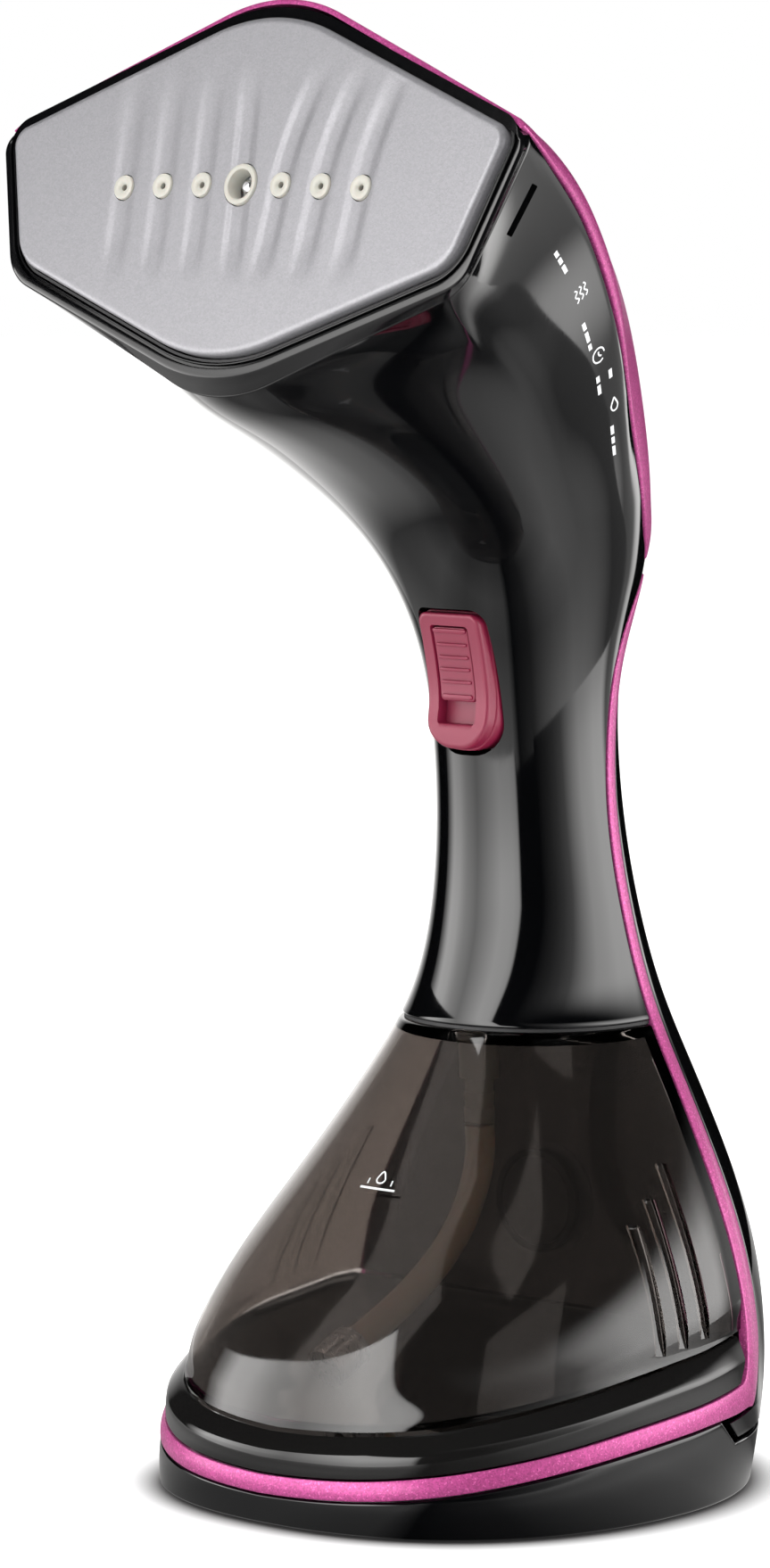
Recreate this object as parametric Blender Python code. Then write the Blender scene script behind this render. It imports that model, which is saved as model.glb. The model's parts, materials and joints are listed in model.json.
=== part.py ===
"""Handheld garment steamer: rounded body on a broad foot, lift-out smoked water tank, steam head and trigger."""

import math

import bmesh
import bpy
import numpy as np
from mathutils import Vector

# ---------------------------------------------------------------- driving dimensions, millimetres and degrees

SHIFT_Y = 2.09  # moves the drawing frame so that the origin is in the middle of the footprint box
GAP = 0.3  # clearance between neighbouring pieces
WALL = 2.2  # moulded shell thickness

# Body skin: one row per station from the foot up and over to the steam head.
# front y, front z, rear y, rear z, half width, front roundness, rear roundness, how hexagonal
STATIONS = np.array([
    [-59.0, 0.0, 57.0, 0.0, 56.2, 2.24, 2.05, 0.0],
    [-58.6, 10.0, 59.6, 10.0, 56.6, 2.24, 2.05, 0.0],
    [-52.9, 24.0, 61.3, 24.0, 55.4, 2.24, 2.10, 0.0],
    [-40.8, 42.0, 61.4, 42.0, 50.8, 2.24, 2.10, 0.0],
    [-25.5, 60.0, 58.3, 60.0, 42.6, 2.20, 2.10, 0.0],
    [-11.2, 80.0, 52.3, 80.0, 31.8, 2.10, 2.10, 0.0],
    [-1.5, 98.0, 46.1, 98.0, 23.6, 2.10, 2.10, 0.0],
    [1.8, 120.0, 40.3, 120.0, 19.3, 2.10, 2.10, 0.0],
    [1.1, 142.0, 37.0, 142.0, 18.0, 2.10, 2.10, 0.0],
    [-1.9, 161.0, 37.1, 161.0, 19.4, 2.10, 2.10, 0.0],
    [-7.8, 176.0, 39.8, 179.0, 24.0, 2.10, 2.20, 0.0],
    [-17.5, 188.0, 37.8, 196.0, 29.6, 2.10, 2.20, 0.0],
    [-31.0, 197.1, 30.6, 218.8, 36.1, 2.20, 2.30, 0.15],
    [-46.3, 204.5, 17.9, 246.0, 44.9, 2.20, 2.30, 0.40],
    [-60.4, 210.6, -1.3, 269.0, 52.6, 2.30, 2.30, 0.70],
    [-69.4, 214.8, -25.2, 283.6, 60.6, 2.30, 2.30, 0.95],
    [-72.8, 216.2, -51.6, 290.8, 66.6, 2.30, 2.30, 1.00],
])
LAST = len(STATIONS) - 1

# Steam head face: a rounded hexagon about the middle nozzle, leaning back.
FACE_CENTRE = np.array([0.0, -63.2, 255.0])
FACE_LEAN = 15.84
FACE_EDGES = (68.4, -18.2, -69.4)  # directions of the upper, side and lower edges
PLATE_REACH = (33.7, 57.8, 34.7)  # how far each of those edges is from the middle nozzle
BEZEL_REACH = (36.0, 61.8, 38.4)
CHAMBER_REACH = (24.0, 46.0, 25.0)
CORNER_RADII = (40.0, 6.5, 10.0, 40.0)  # top, upper side, lower side, bottom
NOZZLE_PITCH = 10.1

# Magenta strip: where its two edges run up the side (station: angle) and round the foot (angle: station).
STRIP_FRONT = ((2.0, 19.4), (2.2, 19.6), (2.7, 18.6), (3.25, 16.3), (3.8, 14.2), (4.35, 12.6), (4.9, 11.4),
               (5.55, 9.6), (6.1, 8.7), (6.6, 8.0), (7.0, 7.4), (7.3, 7.4), (7.65, 8.4), (8.0, 10.8),
               (8.45, 15.0), (9.05, 20.5), (9.55, 27.0), (9.8, 33.0), (10.02, 41.0))
STRIP_REAR = ((1.8, 26.8), (2.15, 27.2), (2.65, 26.2), (3.2, 24.0), (3.75, 22.0), (4.3, 20.4), (4.9, 19.0),
              (5.55, 17.8), (6.1, 17.4), (6.6, 17.2), (7.0, 17.2), (7.3, 17.5), (7.6, 18.6), (8.0, 22.0),
              (8.45, 28.5), (9.05, 37.0), (9.55, 42.5), (9.8, 44.0), (10.02, 44.6))
BAND_TOP = ((-90.0, 1.00), (-74.0, 1.06), (-64.6, 1.12), (-52.0, 1.23), (-41.0, 1.35), (-27.0, 1.51),
            (-15.0, 1.65), (1.0, 1.78), (12.0, 1.86), (24.0, 1.93))
BAND_FOOT = ((-90.0, 0.66), (-74.0, 0.72), (-64.6, 0.78), (-52.0, 0.90), (-41.0, 1.04), (-27.0, 1.22),
             (-15.0, 1.36), (1.0, 1.49), (12.0, 1.55), (24.0, 1.59))
COVER_EDGE = ((9.8, 42.0), (10.2, 34.0), (10.55, 26.5), (11.15, 19.5), (11.65, 15.5), (12.1, 12.0),
              (12.6, 8.8), (13.1, 7.2), (13.6, 6.8), (14.0, 6.9), (14.5, 7.0), (15.2, 7.4), (16.0, 9.3))
COVER_LIP = ((30.0, 10.08), (50.0, 10.58), (70.0, 10.76), (90.0, 10.82))
NOTCH = ((11.0, 1.50), (17.5, 1.18))  # where the foot wall steps down behind the strip

CLIMB = np.concatenate([np.linspace(2.25, 9.0, 16), [9.3, 9.6, 9.85, 10.0]])  # stations up the strip
SEAM_Z = 90.8  # parting plane between tank and handle
SLIDE_FALL = 4.0  # the tank draws forward and this much downward
SLOT_LINES = ((-2.6, 31.5, 0.6, 55.3), (4.1, 32.1, 6.7, 59.6), (11.0, 33.0, 13.5, 65.5))

TRIGGER_TOP, TRIGGER_FOOT, TRIGGER_HALF = 172.3, 144.6, 8.3
TRIGGER_PROUD = 4.0
PIVOT = np.array([0.0, 3.2, 169.3])
LOCK_HALF, LOCK_TOP, LOCK_FOOT = 4.5, 169.0, 154.4
POCKET_FOOT = 149.9

FINISH = {  # material: base colour, metallic, roughness
    "gloss_black": ((0.012, 0.012, 0.013), 0.0, 0.08),
    "magenta_metal": ((0.42, 0.05, 0.22), 0.6, 0.28),
    "magenta_plastic": ((0.42, 0.05, 0.12), 0.0, 0.38),
    "smoked_plastic": ((0.03, 0.028, 0.028), 0.0, 0.06),
    "plate_silver": ((0.62, 0.62, 0.64), 0.7, 0.4),
    "nozzle_ivory": ((0.70, 0.68, 0.60), 0.0, 0.4),
    "black_rubber": ((0.02, 0.02, 0.02), 0.0, 0.7),
    "clear_silicone": ((0.65, 0.60, 0.52), 0.0, 0.35),
    "inner_plastic": ((0.10, 0.10, 0.11), 0.0, 0.5),
    "cast_aluminium": ((0.55, 0.56, 0.58), 0.9, 0.45),
    "steel": ((0.60, 0.60, 0.62), 1.0, 0.3),
    "board_green": ((0.03, 0.16, 0.06), 0.0, 0.5),
}


# ---------------------------------------------------------------- curves and the body skin

def spline(keys, values, at):
    """Natural cubic curve through the values at the keys, read at other keys (held level past the ends)."""
    keys = np.asarray(keys, float)
    values = np.asarray(values, float).reshape(len(keys), -1)
    step = np.diff(keys)
    rise = np.diff(values, axis=0) / step[:, None]
    system = np.eye(len(keys))
    load_side = np.zeros_like(values)
    for i in range(1, len(keys) - 1):
        system[i, i - 1:i + 2] = step[i - 1], 2 * (step[i - 1] + step[i]), step[i]
        load_side[i] = 6 * (rise[i] - rise[i - 1])
    bend = np.linalg.solve(system, load_side)
    at = np.clip(np.asarray(at, float), keys[0], keys[-1])
    i = np.clip(np.searchsorted(keys, at, side="right") - 1, 0, len(keys) - 2)
    h = step[i]
    b = (at - keys[i]) / h
    a = 1 - b
    h, a, b = h[..., None], a[..., None], b[..., None]
    out = a * values[i] + b * values[i + 1] + ((a**3 - a) * bend[i] + (b**3 - b) * bend[i + 1]) * h * h / 6
    return out[..., 0] if out.shape[-1] == 1 else out


def table(pairs, at):
    """Smooth curve through (key, value) pairs."""
    keys, values = zip(*pairs)
    return spline(keys, values, at)


def hexagon(reach, radii=CORNER_RADII, arc_points=7, edge_points=2):
    """Rounded hexagon, mirrored left and right, as points (x, up) going round anticlockwise from the right."""
    lines = [(math.radians(a), d) for a, d in zip(FACE_EDGES, reach)]
    lines += [(math.pi - a, d) for a, d in lines[::-1]]
    lines = sorted((a % (2 * math.pi), d) for a, d in lines)
    order = {0: radii[0], 1: radii[1], 2: radii[2], 3: radii[3], 4: radii[2], 5: radii[1]}
    points = []
    for k in range(6):
        (a0, d0), (a1, d1) = lines[k], lines[(k + 1) % 6]
        turn = (a1 - a0) % (2 * math.pi)
        corner = np.linalg.solve([[math.cos(a0), math.sin(a0)], [math.cos(a1), math.sin(a1)]], [d0, d1])
        radius = order[k]
        centre = corner - radius / math.cos(turn / 2) * np.array([math.cos(a0 + turn / 2), math.sin(a0 + turn / 2)])
        for t in np.linspace(0, turn, arc_points):
            points.append(centre + radius * np.array([math.cos(a0 + t), math.sin(a0 + t)]))
    rounded = []
    for i, p in enumerate(points):
        q = points[(i + 1) % len(points)]
        parts = edge_points + 1 if np.linalg.norm(q - p) > 12 else 1
        rounded += [p + (q - p) * t / parts for t in range(parts)]
    return np.array(rounded)


def polar(points, angle):
    """Where a ray at each angle leaves the closed outline."""
    spin = np.arctan2(points[:, 1], points[:, 0])
    order = np.argsort(spin)
    spin, reach = spin[order], np.hypot(points[:, 0], points[:, 1])[order]
    spin = np.concatenate([spin - 2 * math.pi, spin, spin + 2 * math.pi])
    turned = (np.asarray(angle) + math.pi) % (2 * math.pi) - math.pi
    r = np.interp(turned, spin, np.tile(reach, 3))
    return r * np.cos(angle), r * np.sin(angle)


RIM = hexagon(BEZEL_REACH, arc_points=24, edge_points=12)
RIM_WIDE, RIM_LOW, RIM_HIGH = RIM[:, 0].max(), -RIM[:, 1].min(), RIM[:, 1].max()


def power(value, exponent):
    return np.sign(value) * np.abs(value) ** exponent


def bare_skin(u, angle):
    """Point on the body skin at a station and an angle: 0 is +X, 90 the rear or top, -90 the front."""
    u, angle = np.broadcast_arrays(np.asarray(u, float), np.radians(np.asarray(angle, float)))
    row = spline(np.arange(LAST + 1), STATIONS, u)
    front_y, front_z, rear_y, rear_z, wide, front_n, rear_n, hexed = np.moveaxis(row, -1, 0)
    hexed = np.clip(hexed, 0, 1)
    length = np.hypot(rear_y - front_y, rear_z - front_z)
    low = length * ((1 - hexed) * 0.5 + hexed * RIM_LOW / (RIM_LOW + RIM_HIGH))
    high = length - low
    c, s = np.cos(angle), np.sin(angle)
    n = np.where(s < 0, front_n, rear_n)
    x_round, w_round = wide * power(c, 2 / n), np.where(s < 0, low, high) * power(s, 2 / n)
    x_hex, w_hex = polar(RIM, angle)
    x = (1 - hexed) * x_round + hexed * x_hex / RIM_WIDE * wide
    w = (1 - hexed) * w_round + hexed * np.where(w_hex < 0, w_hex / RIM_LOW * low, w_hex / RIM_HIGH * high) + low
    return np.stack([x, front_y + w * (rear_y - front_y) / length, front_z + w * (rear_z - front_z) / length], -1)


def skin(u, angle, inset=0.0):
    """Body skin, or the same surface moved inward."""
    u, angle = np.broadcast_arrays(np.asarray(u, float), np.asarray(angle, float))
    here = bare_skin(u, angle)
    if np.all(np.asarray(inset) == 0):
        return here
    below, above = np.clip(u - 0.02, 0, LAST), np.clip(u + 0.02, 0, LAST)
    normal = np.cross(bare_skin(u, angle + 1.2) - bare_skin(u, angle - 1.2),
                      bare_skin(above, angle) - bare_skin(below, angle))
    normal /= np.linalg.norm(normal, axis=-1, keepdims=True)
    return here - normal * np.asarray(inset)[..., None]


def mirror_angle(angle):
    """The same place on the other side of the body."""
    return 180 - angle


def along_u(u, angle, mm):
    """Station change that moves this far over the skin at a fixed angle."""
    return 0.02 * mm / np.linalg.norm(bare_skin(u + 0.01, angle) - bare_skin(u - 0.01, angle), axis=-1)


def along_angle(u, angle, mm):
    """Angle change that moves this far over the skin at a fixed station."""
    return mm / np.linalg.norm(bare_skin(u, angle + 0.5) - bare_skin(u, angle - 0.5), axis=-1)


def front_side(angle):
    """Folds an angle onto the +X half, between -90 at the front and 90 at the rear."""
    angle = (np.asarray(angle, float) + 180) % 360 - 180
    return np.where(np.abs(angle) > 90, np.where(angle > 0, 180 - angle, -180 - angle), angle)


def station_of(z):
    """Station whose level ring is at this height, below the trigger."""
    us = np.linspace(0, 9, 181)
    return np.interp(z, spline(np.arange(LAST + 1), STATIONS, us)[:, 1], us)


def half_width(y, z):
    """Half width of the skin at a place in the side view, on the level part of the body."""
    row = spline(np.arange(LAST + 1), STATIONS, station_of(z))
    middle, reach = (row[..., 0] + row[..., 2]) / 2, (row[..., 2] - row[..., 0]) / 2
    w = np.clip((y - middle) / reach, -1, 1)
    n = np.where(w < 0, row[..., 5], row[..., 6])
    return row[..., 4] * (1 - np.abs(w) ** n) ** (1 / n)


LEAN = math.radians(FACE_LEAN)
FACE_UP = np.array([0.0, math.sin(LEAN), math.cos(LEAN)])
FACE_OUT = np.array([0.0, -math.cos(LEAN), math.sin(LEAN)])


def on_face(x, up, out):
    """Point given in the steam head's own frame: across, up its face and out from it."""
    x, up, out = (np.asarray(v, float)[..., None] for v in np.broadcast_arrays(x, up, out))
    return FACE_CENTRE + x * np.array([1.0, 0.0, 0.0]) + up * FACE_UP + out * FACE_OUT


def station_at_depth(angle, depth):
    """Station where the skin, followed from the head face at this angle, is this deep behind the face."""
    us = np.linspace(13, LAST, 121)
    angle = np.atleast_1d(np.asarray(angle, float))
    deep = (FACE_CENTRE - bare_skin(us[:, None], angle[None])) @ FACE_OUT
    return np.array([np.interp(-depth, -deep[:, i], us) for i in range(len(angle))])


def head_station(angle):
    """Station where the shells stop behind the bezel."""
    return station_at_depth(angle, 4.4)


# ---------------------------------------------------------------- solids

def finish(name):
    """Principled material of a finish, made once."""
    if name in bpy.data.materials:
        return bpy.data.materials[name]
    colour, metallic, roughness = FINISH[name]
    material = bpy.data.materials.new(name)
    material.use_nodes = True
    shader = material.node_tree.nodes["Principled BSDF"]
    shader.inputs["Base Color"].default_value = (*colour, 1)
    shader.inputs["Metallic"].default_value = metallic
    shader.inputs["Roughness"].default_value = roughness
    return material


def add(name, shape, material, smooth=35, pivot=(0, 0, 0)):
    """Object from (points in mm, faces), its origin on the pivot."""
    points, faces = shape
    offset = Vector((pivot[0], pivot[1] + (SHIFT_Y if any(pivot) else 0), pivot[2]))
    mesh = bpy.data.meshes.new(name)
    moved = [(Vector((p[0], p[1] + SHIFT_Y, p[2])) - offset) * 0.001 for p in points]
    mesh.from_pydata(moved, [], [list(map(int, f)) for f in faces])
    work = bmesh.new()
    work.from_mesh(mesh)
    bmesh.ops.remove_doubles(work, verts=work.verts, dist=1e-6)
    bmesh.ops.recalc_face_normals(work, faces=work.faces)
    work.to_mesh(mesh)
    work.free()
    mesh.materials.append(finish(material) if material else None)
    thing = bpy.data.objects.new(name, mesh)
    thing.location = offset * 0.001
    bpy.context.scene.collection.objects.link(thing)
    if smooth:
        mesh.shade_smooth()
        mesh.set_sharp_from_angle(angle=math.radians(smooth))
    return thing


def cut(thing, name, shape):
    """Takes a shape out of a thing with an exact Boolean."""
    cutter = add(name, shape, None, smooth=0)
    cutter.hide_render = True
    cutter.display_type = "WIRE"
    modifier = thing.modifiers.new(name, "BOOLEAN")
    modifier.operation, modifier.solver, modifier.object = "DIFFERENCE", "EXACT", cutter


def together(*shapes):
    """Several separate shapes as one list of points and faces, for a cutter."""
    points, faces = [], []
    for p, f in shapes:
        faces += [[i + len(points) for i in face] for face in f]
        points += [tuple(q) for q in p]
    return points, faces


def grid_faces(rows, columns, start=0, wrap=False):
    """Quads of a grid of points numbered row by row."""
    last = columns if wrap else columns - 1
    return [[start + r * columns + c, start + r * columns + (c + 1) % columns,
             start + (r + 1) * columns + (c + 1) % columns, start + (r + 1) * columns + c]
            for r in range(rows - 1) for c in range(last)]


def slab(outer, inner):
    """Closed solid between two grids of points of the same size."""
    rows, columns = outer.shape[:2]
    count = rows * columns
    faces = grid_faces(rows, columns) + grid_faces(rows, columns, count)
    edge = ([(0, c) for c in range(columns)] + [(r, columns - 1) for r in range(1, rows)]
            + [(rows - 1, c) for c in range(columns - 2, -1, -1)] + [(r, 0) for r in range(rows - 2, 0, -1)])
    loop = [r * columns + c for r, c in edge]
    faces += [[a, b, b + count, a + count] for a, b in zip(loop, loop[1:] + loop[:1])]
    return np.concatenate([outer.reshape(-1, 3), inner.reshape(-1, 3)]), faces


def hoop(outer, inner):
    """Closed band between two grids whose columns run all the way round."""
    rows, columns = outer.shape[:2]
    count = rows * columns
    faces = grid_faces(rows, columns, wrap=True) + grid_faces(rows, columns, count, wrap=True)
    for r in (0, rows - 1):
        for c in range(columns):
            a, b = r * columns + c, r * columns + (c + 1) % columns
            faces.append([a, b, b + count, a + count])
    return np.concatenate([outer.reshape(-1, 3), inner.reshape(-1, 3)]), faces


def stack(rings):
    """Closed solid through rings of points, its two ends capped."""
    rings = np.asarray(rings, float)
    rows, columns = rings.shape[:2]
    faces = grid_faces(rows, columns, wrap=True)
    faces += [list(range(columns)), [(rows - 1) * columns + c for c in range(columns)][::-1]]
    return rings.reshape(-1, 3), faces


def circle(radius, count):
    turn = np.arange(count) * 2 * math.pi / count
    return np.stack([radius * np.cos(turn), radius * np.sin(turn)], -1)


def frame_for(axis):
    """Two directions square to an axis."""
    axis = np.asarray(axis, float) / np.linalg.norm(axis)
    side = np.cross(axis, [1.0, 0.0, 0.0] if abs(axis[0]) < 0.8 else [0.0, 1.0, 0.0])
    side /= np.linalg.norm(side)
    return axis, side, np.cross(axis, side)


def turned(base, axis, profile, count=24, bore=0.0):
    """Solid of revolution from (radius, distance along the axis) pairs, with an open bore if one is given."""
    axis, side, other = frame_for(axis)
    rings = []
    for radius, along in profile:
        ring = circle(radius, count)
        rings.append(np.asarray(base) + along * axis + ring[:, :1] * side + ring[:, 1:] * other)
    if not bore:
        return stack(rings)
    ring = circle(bore, count)
    wall = [np.asarray(base) + along * axis + ring[:, :1] * side + ring[:, 1:] * other for _, along in profile]
    return hoop(np.array(rings), np.array(wall))


def box(low, high):
    (a, b, c), (d, e, f) = low, high
    return stack([[(a, b, z), (d, b, z), (d, e, z), (a, e, z)] for z in (c, f)])


def pipe(path, radius, bore, sides=10, steps=10):
    """Open tube along a smooth path."""
    path = np.asarray(path, float)
    t = np.arange(len(path))
    at = spline(t, path, np.linspace(0, len(path) - 1, steps))
    tangent = np.gradient(at, axis=0)
    outer, inner = [], []
    for point, direction in zip(at, tangent):
        axis = direction / np.linalg.norm(direction)
        side = np.cross(axis, [1.0, 0.0, 0.0])
        side /= np.linalg.norm(side)
        other = np.cross(axis, side)
        for rings, r in ((outer, radius), (inner, bore)):
            ring = circle(r, sides)
            rings.append(point + ring[:, :1] * side + ring[:, 1:] * other)
    return hoop(np.array(outer), np.array(inner))


def rounded_bar(half, top, foot, corner_top, corner_foot, arc=5):
    """Upright rounded rectangle in the front view as (x, z) points."""
    points = []
    for cx, cz, r, start in ((half - corner_top, top - corner_top, corner_top, 0),
                             (-half + corner_top, top - corner_top, corner_top, 90),
                             (-half + corner_foot, foot + corner_foot, corner_foot, 180),
                             (half - corner_foot, foot + corner_foot, corner_foot, 270)):
        for a in np.radians(np.linspace(start, start + 90, arc)):
            points.append((cx + r * math.cos(a), cz + r * math.sin(a)))
    return np.array(points)


def plate(angles, foot, top, inset):
    """Plate level from side to side, from the front back along the skin, between two curves of stations."""
    rows = []
    for angle in angles:
        (x0, y0, z0), (x1, y1, z1) = (skin(float(u(angle)), angle, inset) for u in (foot, top))
        rows.append([(-x0, y0, z0), (x0, y0, z0), (x1, y1, z1), (-x1, y1, z1)])
    return stack(rows)


# ---------------------------------------------------------------- outer shells

def ring_angles(low, high, count):
    """Angles from the right edge down round the front to the left edge."""
    return np.linspace(low, high, count)


def front_shell():
    """Handle front, head underside and head sides, with the trigger opening and the two side slots."""
    s = np.linspace(0, 1, 27)
    rows = []
    start = float(station_of(SEAM_Z + GAP))
    end = float(head_station(COVER_EDGE[-1][1])[0])
    stations = np.concatenate([[start], CLIMB[CLIMB > start + 0.1], np.linspace(10.4, end, 11)])
    for at_edge in stations:
        edge = float(table(STRIP_FRONT, at_edge) if at_edge < 10.01 else table(COVER_EDGE, at_edge))
        edge -= float(along_angle(at_edge, edge, GAP / 2 + 0.1))
        angle = edge + s * (-180 - 2 * edge)
        rows.append((start + (at_edge - start) / (end - start) * (head_station(angle) - start), angle))
    u, angle = (np.array([r[i] for r in rows]) for i in (0, 1))
    outer, inner = skin(u, angle), skin(u, angle, WALL)
    inner[0, :, 2] = outer[0, :, 2]
    shell = add("front_shell", slab(outer, inner), "gloss_black", 40)
    hole = rounded_bar(TRIGGER_HALF + 0.4, TRIGGER_TOP + 0.45, TRIGGER_FOOT - 1.0, 3.0, 7.0)
    cut(shell, "trigger_opening", stack([[(x, y, z) for x, z in hole] for y in (-30.0, 8.0)]))
    slots = []
    for side in (1, -1):
        middle = skin(15.12, -0.4 if side > 0 else 180.4)
        along = skin(15.18, 3.7 if side > 0 else 176.3) - skin(15.08, -4.5 if side > 0 else 184.5)
        slots.append(tilted_box(middle, along, (side, 0, 0), 10.0, 1.5, 2.4))
    cut(shell, "side_slots", together(*slots))


def tilted_box(middle, along, out, length, width, depth):
    """Box laid on a surface: long one way, and as deep on each side of the surface."""
    along = np.asarray(along, float) / np.linalg.norm(along)
    out = np.asarray(out, float) - np.dot(out, along) * along
    out /= np.linalg.norm(out)
    across = np.cross(out, along)
    ring = [(-0.5, -0.5), (0.5, -0.5), (0.5, 0.5), (-0.5, 0.5)]
    return stack([[middle + a * length * along + b * width * across + d * depth * out for a, b in ring]
                  for d in (-0.5, 0.5)])


def cover_grid(rows=13, columns=17):
    """Stations and angles of the top cover, from its lip over the head to the bezel."""
    s = np.linspace(0, 1, columns)
    lip = table(COVER_LIP, front_side(34 + s * 112))
    end = float(head_station(COVER_EDGE[-1][1])[0])
    u, angle = [], []
    for t in np.linspace(0, 1, rows):
        now = lip + t * (end - lip)
        edge = table(COVER_EDGE, now) + along_angle(now, 20.0, GAP / 2 + 0.1)
        here = edge + s * (180 - 2 * edge)
        u.append(lip + t * (head_station(here) - lip))
        angle.append(here)
    return np.array(u), np.array(angle)


def top_cover():
    u, angle = cover_grid()
    add("top_cover", slab(skin(u, angle, -0.25), skin(u, angle, WALL)), "magenta_metal", 40)


def rear_shell():
    """Black rear of the handle and base, between the two uprights of the strip."""
    u_lip, a_lip = cover_grid(rows=2, columns=33)
    s = np.linspace(0, 1, 15)
    edges = [(1.2, 18.2), (1.34, 15.6), (1.46, 13.4), (1.53, 27.6)]
    for k in np.concatenate([[1.8], CLIMB]):
        edge = float(table(STRIP_REAR, k))
        edges.append((float(k), edge + float(along_angle(k, edge, GAP + 0.1))))
    peak = float(np.interp(37.5, a_lip[0], u_lip[0])) - 0.035
    edges += [(10.06, 42.0), (peak, 37.5)]
    rows = []
    for k, edge in edges:
        angle = edge + s * (180 - 2 * edge)
        ceiling = np.interp(angle, a_lip[0], u_lip[0]) - 0.035
        rows.append((k + (max(0.0, k - 8.0) / (peak - 8.0)) ** 2 * (ceiling - ceiling[0]), angle))
    u, angle = (np.array([r[i] for r in rows]) for i in (0, 1))
    shell = add("rear_shell", slab(skin(u, angle), skin(u, angle, WALL)), "gloss_black", 40)
    cut(shell, "gland_hole", turned((0, 50, 19.0), (0, 1, 0), ((4.9, 0), (4.9, 20)), 20))


def strip_paths():
    """Matching points along the two edges of the strip, from the front middle up to its point on the +X side."""
    turn = np.array([-90, -82, -74, -64.6, -52, -41, -32, -22, -12, -2, 8])
    upper = [(float(table(BAND_TOP, a)), float(a)) for a in turn]
    lower = [(float(table(BAND_FOOT, a)), float(a)) for a in turn]
    upper += [(1.89, 15.5), (1.93, 18.2), (2.02, 19.3)]
    lower += [(1.55, 17.0), (1.565, 22.5), (1.64, 25.8)]
    upper += [(float(k), float(table(STRIP_FRONT, k))) for k in CLIMB]
    lower += [(float(k), float(table(STRIP_REAR, k))) for k in CLIMB]
    return np.array(upper), np.array(lower)


def trim_strip():
    """Magenta strip: round the front of the foot and up both sides of the body to a point."""
    upper, lower = strip_paths()

    def both(points):
        left = points[:0:-1].copy()
        left[:, 1] = mirror_angle(left[:, 1])
        return np.concatenate([left, points])
    u = np.array([both(upper)[:, 0], both(lower)[:, 0]])
    angle = np.array([both(upper)[:, 1], both(lower)[:, 1]])
    half = u.shape[1] // 2
    angle[:, :half] = np.where(angle[:, :half] > 180, angle[:, :half] - 360, angle[:, :half])
    add("trim_strip", slab(skin(u, angle, -0.15), skin(u, angle, 1.6)), "magenta_metal", 40)


def foot_edge(angle):
    """Station of the foot wall's upper edge."""
    side = front_side(angle)
    band = table(BAND_FOOT, np.minimum(side, 12.0))
    stepped = np.interp(side, (11.0, 17.0), (1.49, 1.15))
    top = np.where(side < 11.0, band, stepped)
    return top - along_u(np.full_like(side, 1.2), side, GAP)


def foot_shell():
    angle = np.concatenate([np.arange(-90, 8, 7), [11.0, 14.0, 17.0, 21.0], np.arange(28, 90, 7.75)])
    angle = np.concatenate([angle, [90.0], mirror_angle(angle[:0:-1])])
    top = foot_edge(angle)
    u = np.array([np.full_like(angle, 0.06), 0.5 * top, top])
    angle = np.broadcast_to(angle, u.shape)
    add("foot_shell", hoop(skin(u, angle), skin(u, angle, WALL)), "gloss_black", 40)


# ---------------------------------------------------------------- steam head

def face_ring(outline, out):
    return on_face(outline[:, 0], outline[:, 1], out)


def grown(reach, mm):
    return tuple(r + mm for r in reach)


def head_rings():
    """Soleplate, gasket and bezel of the steam head."""
    plate_line, gasket_in, gasket_out, bezel_in = (
        hexagon(grown(PLATE_REACH, mm), grown(CORNER_RADII, mm)) for mm in (0, 0.3, 1.0, 1.3))
    sole = add("soleplate", stack([face_ring(hexagon(grown(PLATE_REACH, -0.7), grown(CORNER_RADII, -0.7)), 0.0),
                                   face_ring(plate_line, -0.6), face_ring(plate_line, -3.0)]), "plate_silver", 30)
    holes = [turned(on_face(x, v, -4.0), FACE_OUT, ((r + 0.25, 0), (r + 0.25, 6)), 20)
             for x, v, r in nozzle_places()]
    cut(sole, "nozzle_holes", together(*holes))
    add("soleplate_gasket", hoop(np.array([face_ring(gasket_out, n) for n in (-0.5, -2.5)]),
                                 np.array([face_ring(gasket_in, n) for n in (-0.5, -2.5)])), "black_rubber", 30)
    outer_line = hexagon(BEZEL_REACH)
    turn = np.degrees(np.arctan2(outer_line[:, 1], outer_line[:, 0]))
    back = skin(station_at_depth(turn, 3.4), turn)
    outer = np.array([face_ring(hexagon(grown(BEZEL_REACH, -1.0)), -0.7), face_ring(outer_line, -1.9), back])
    middle = np.array([face_ring(bezel_in, n) for n in (-0.4, -1.8, -3.4)])
    add("head_bezel", hoop(outer, middle), "gloss_black", 30)


def nozzle_places():
    """(across, up, outer radius) of the seven steam nozzles."""
    return [(k * NOZZLE_PITCH, -0.02 * k * k * 3.3, 4.0 if k == 0 else 2.4) for k in range(-3, 4)]


def nozzles():
    for k, (x, v, r) in enumerate(nozzle_places()):
        name = "nozzle_center" if r > 3 else f"nozzle_{k + 1 if k < 3 else k}"
        bore = 2.1 if r > 3 else 0.7
        profile = ((r, -3.0), (r, 0.15), (r - 0.45, 0.45))
        add(name, turned(on_face(x, v, 0), FACE_OUT, profile, 20 if r > 3 else 16, bore), "nozzle_ivory", 30)


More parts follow.
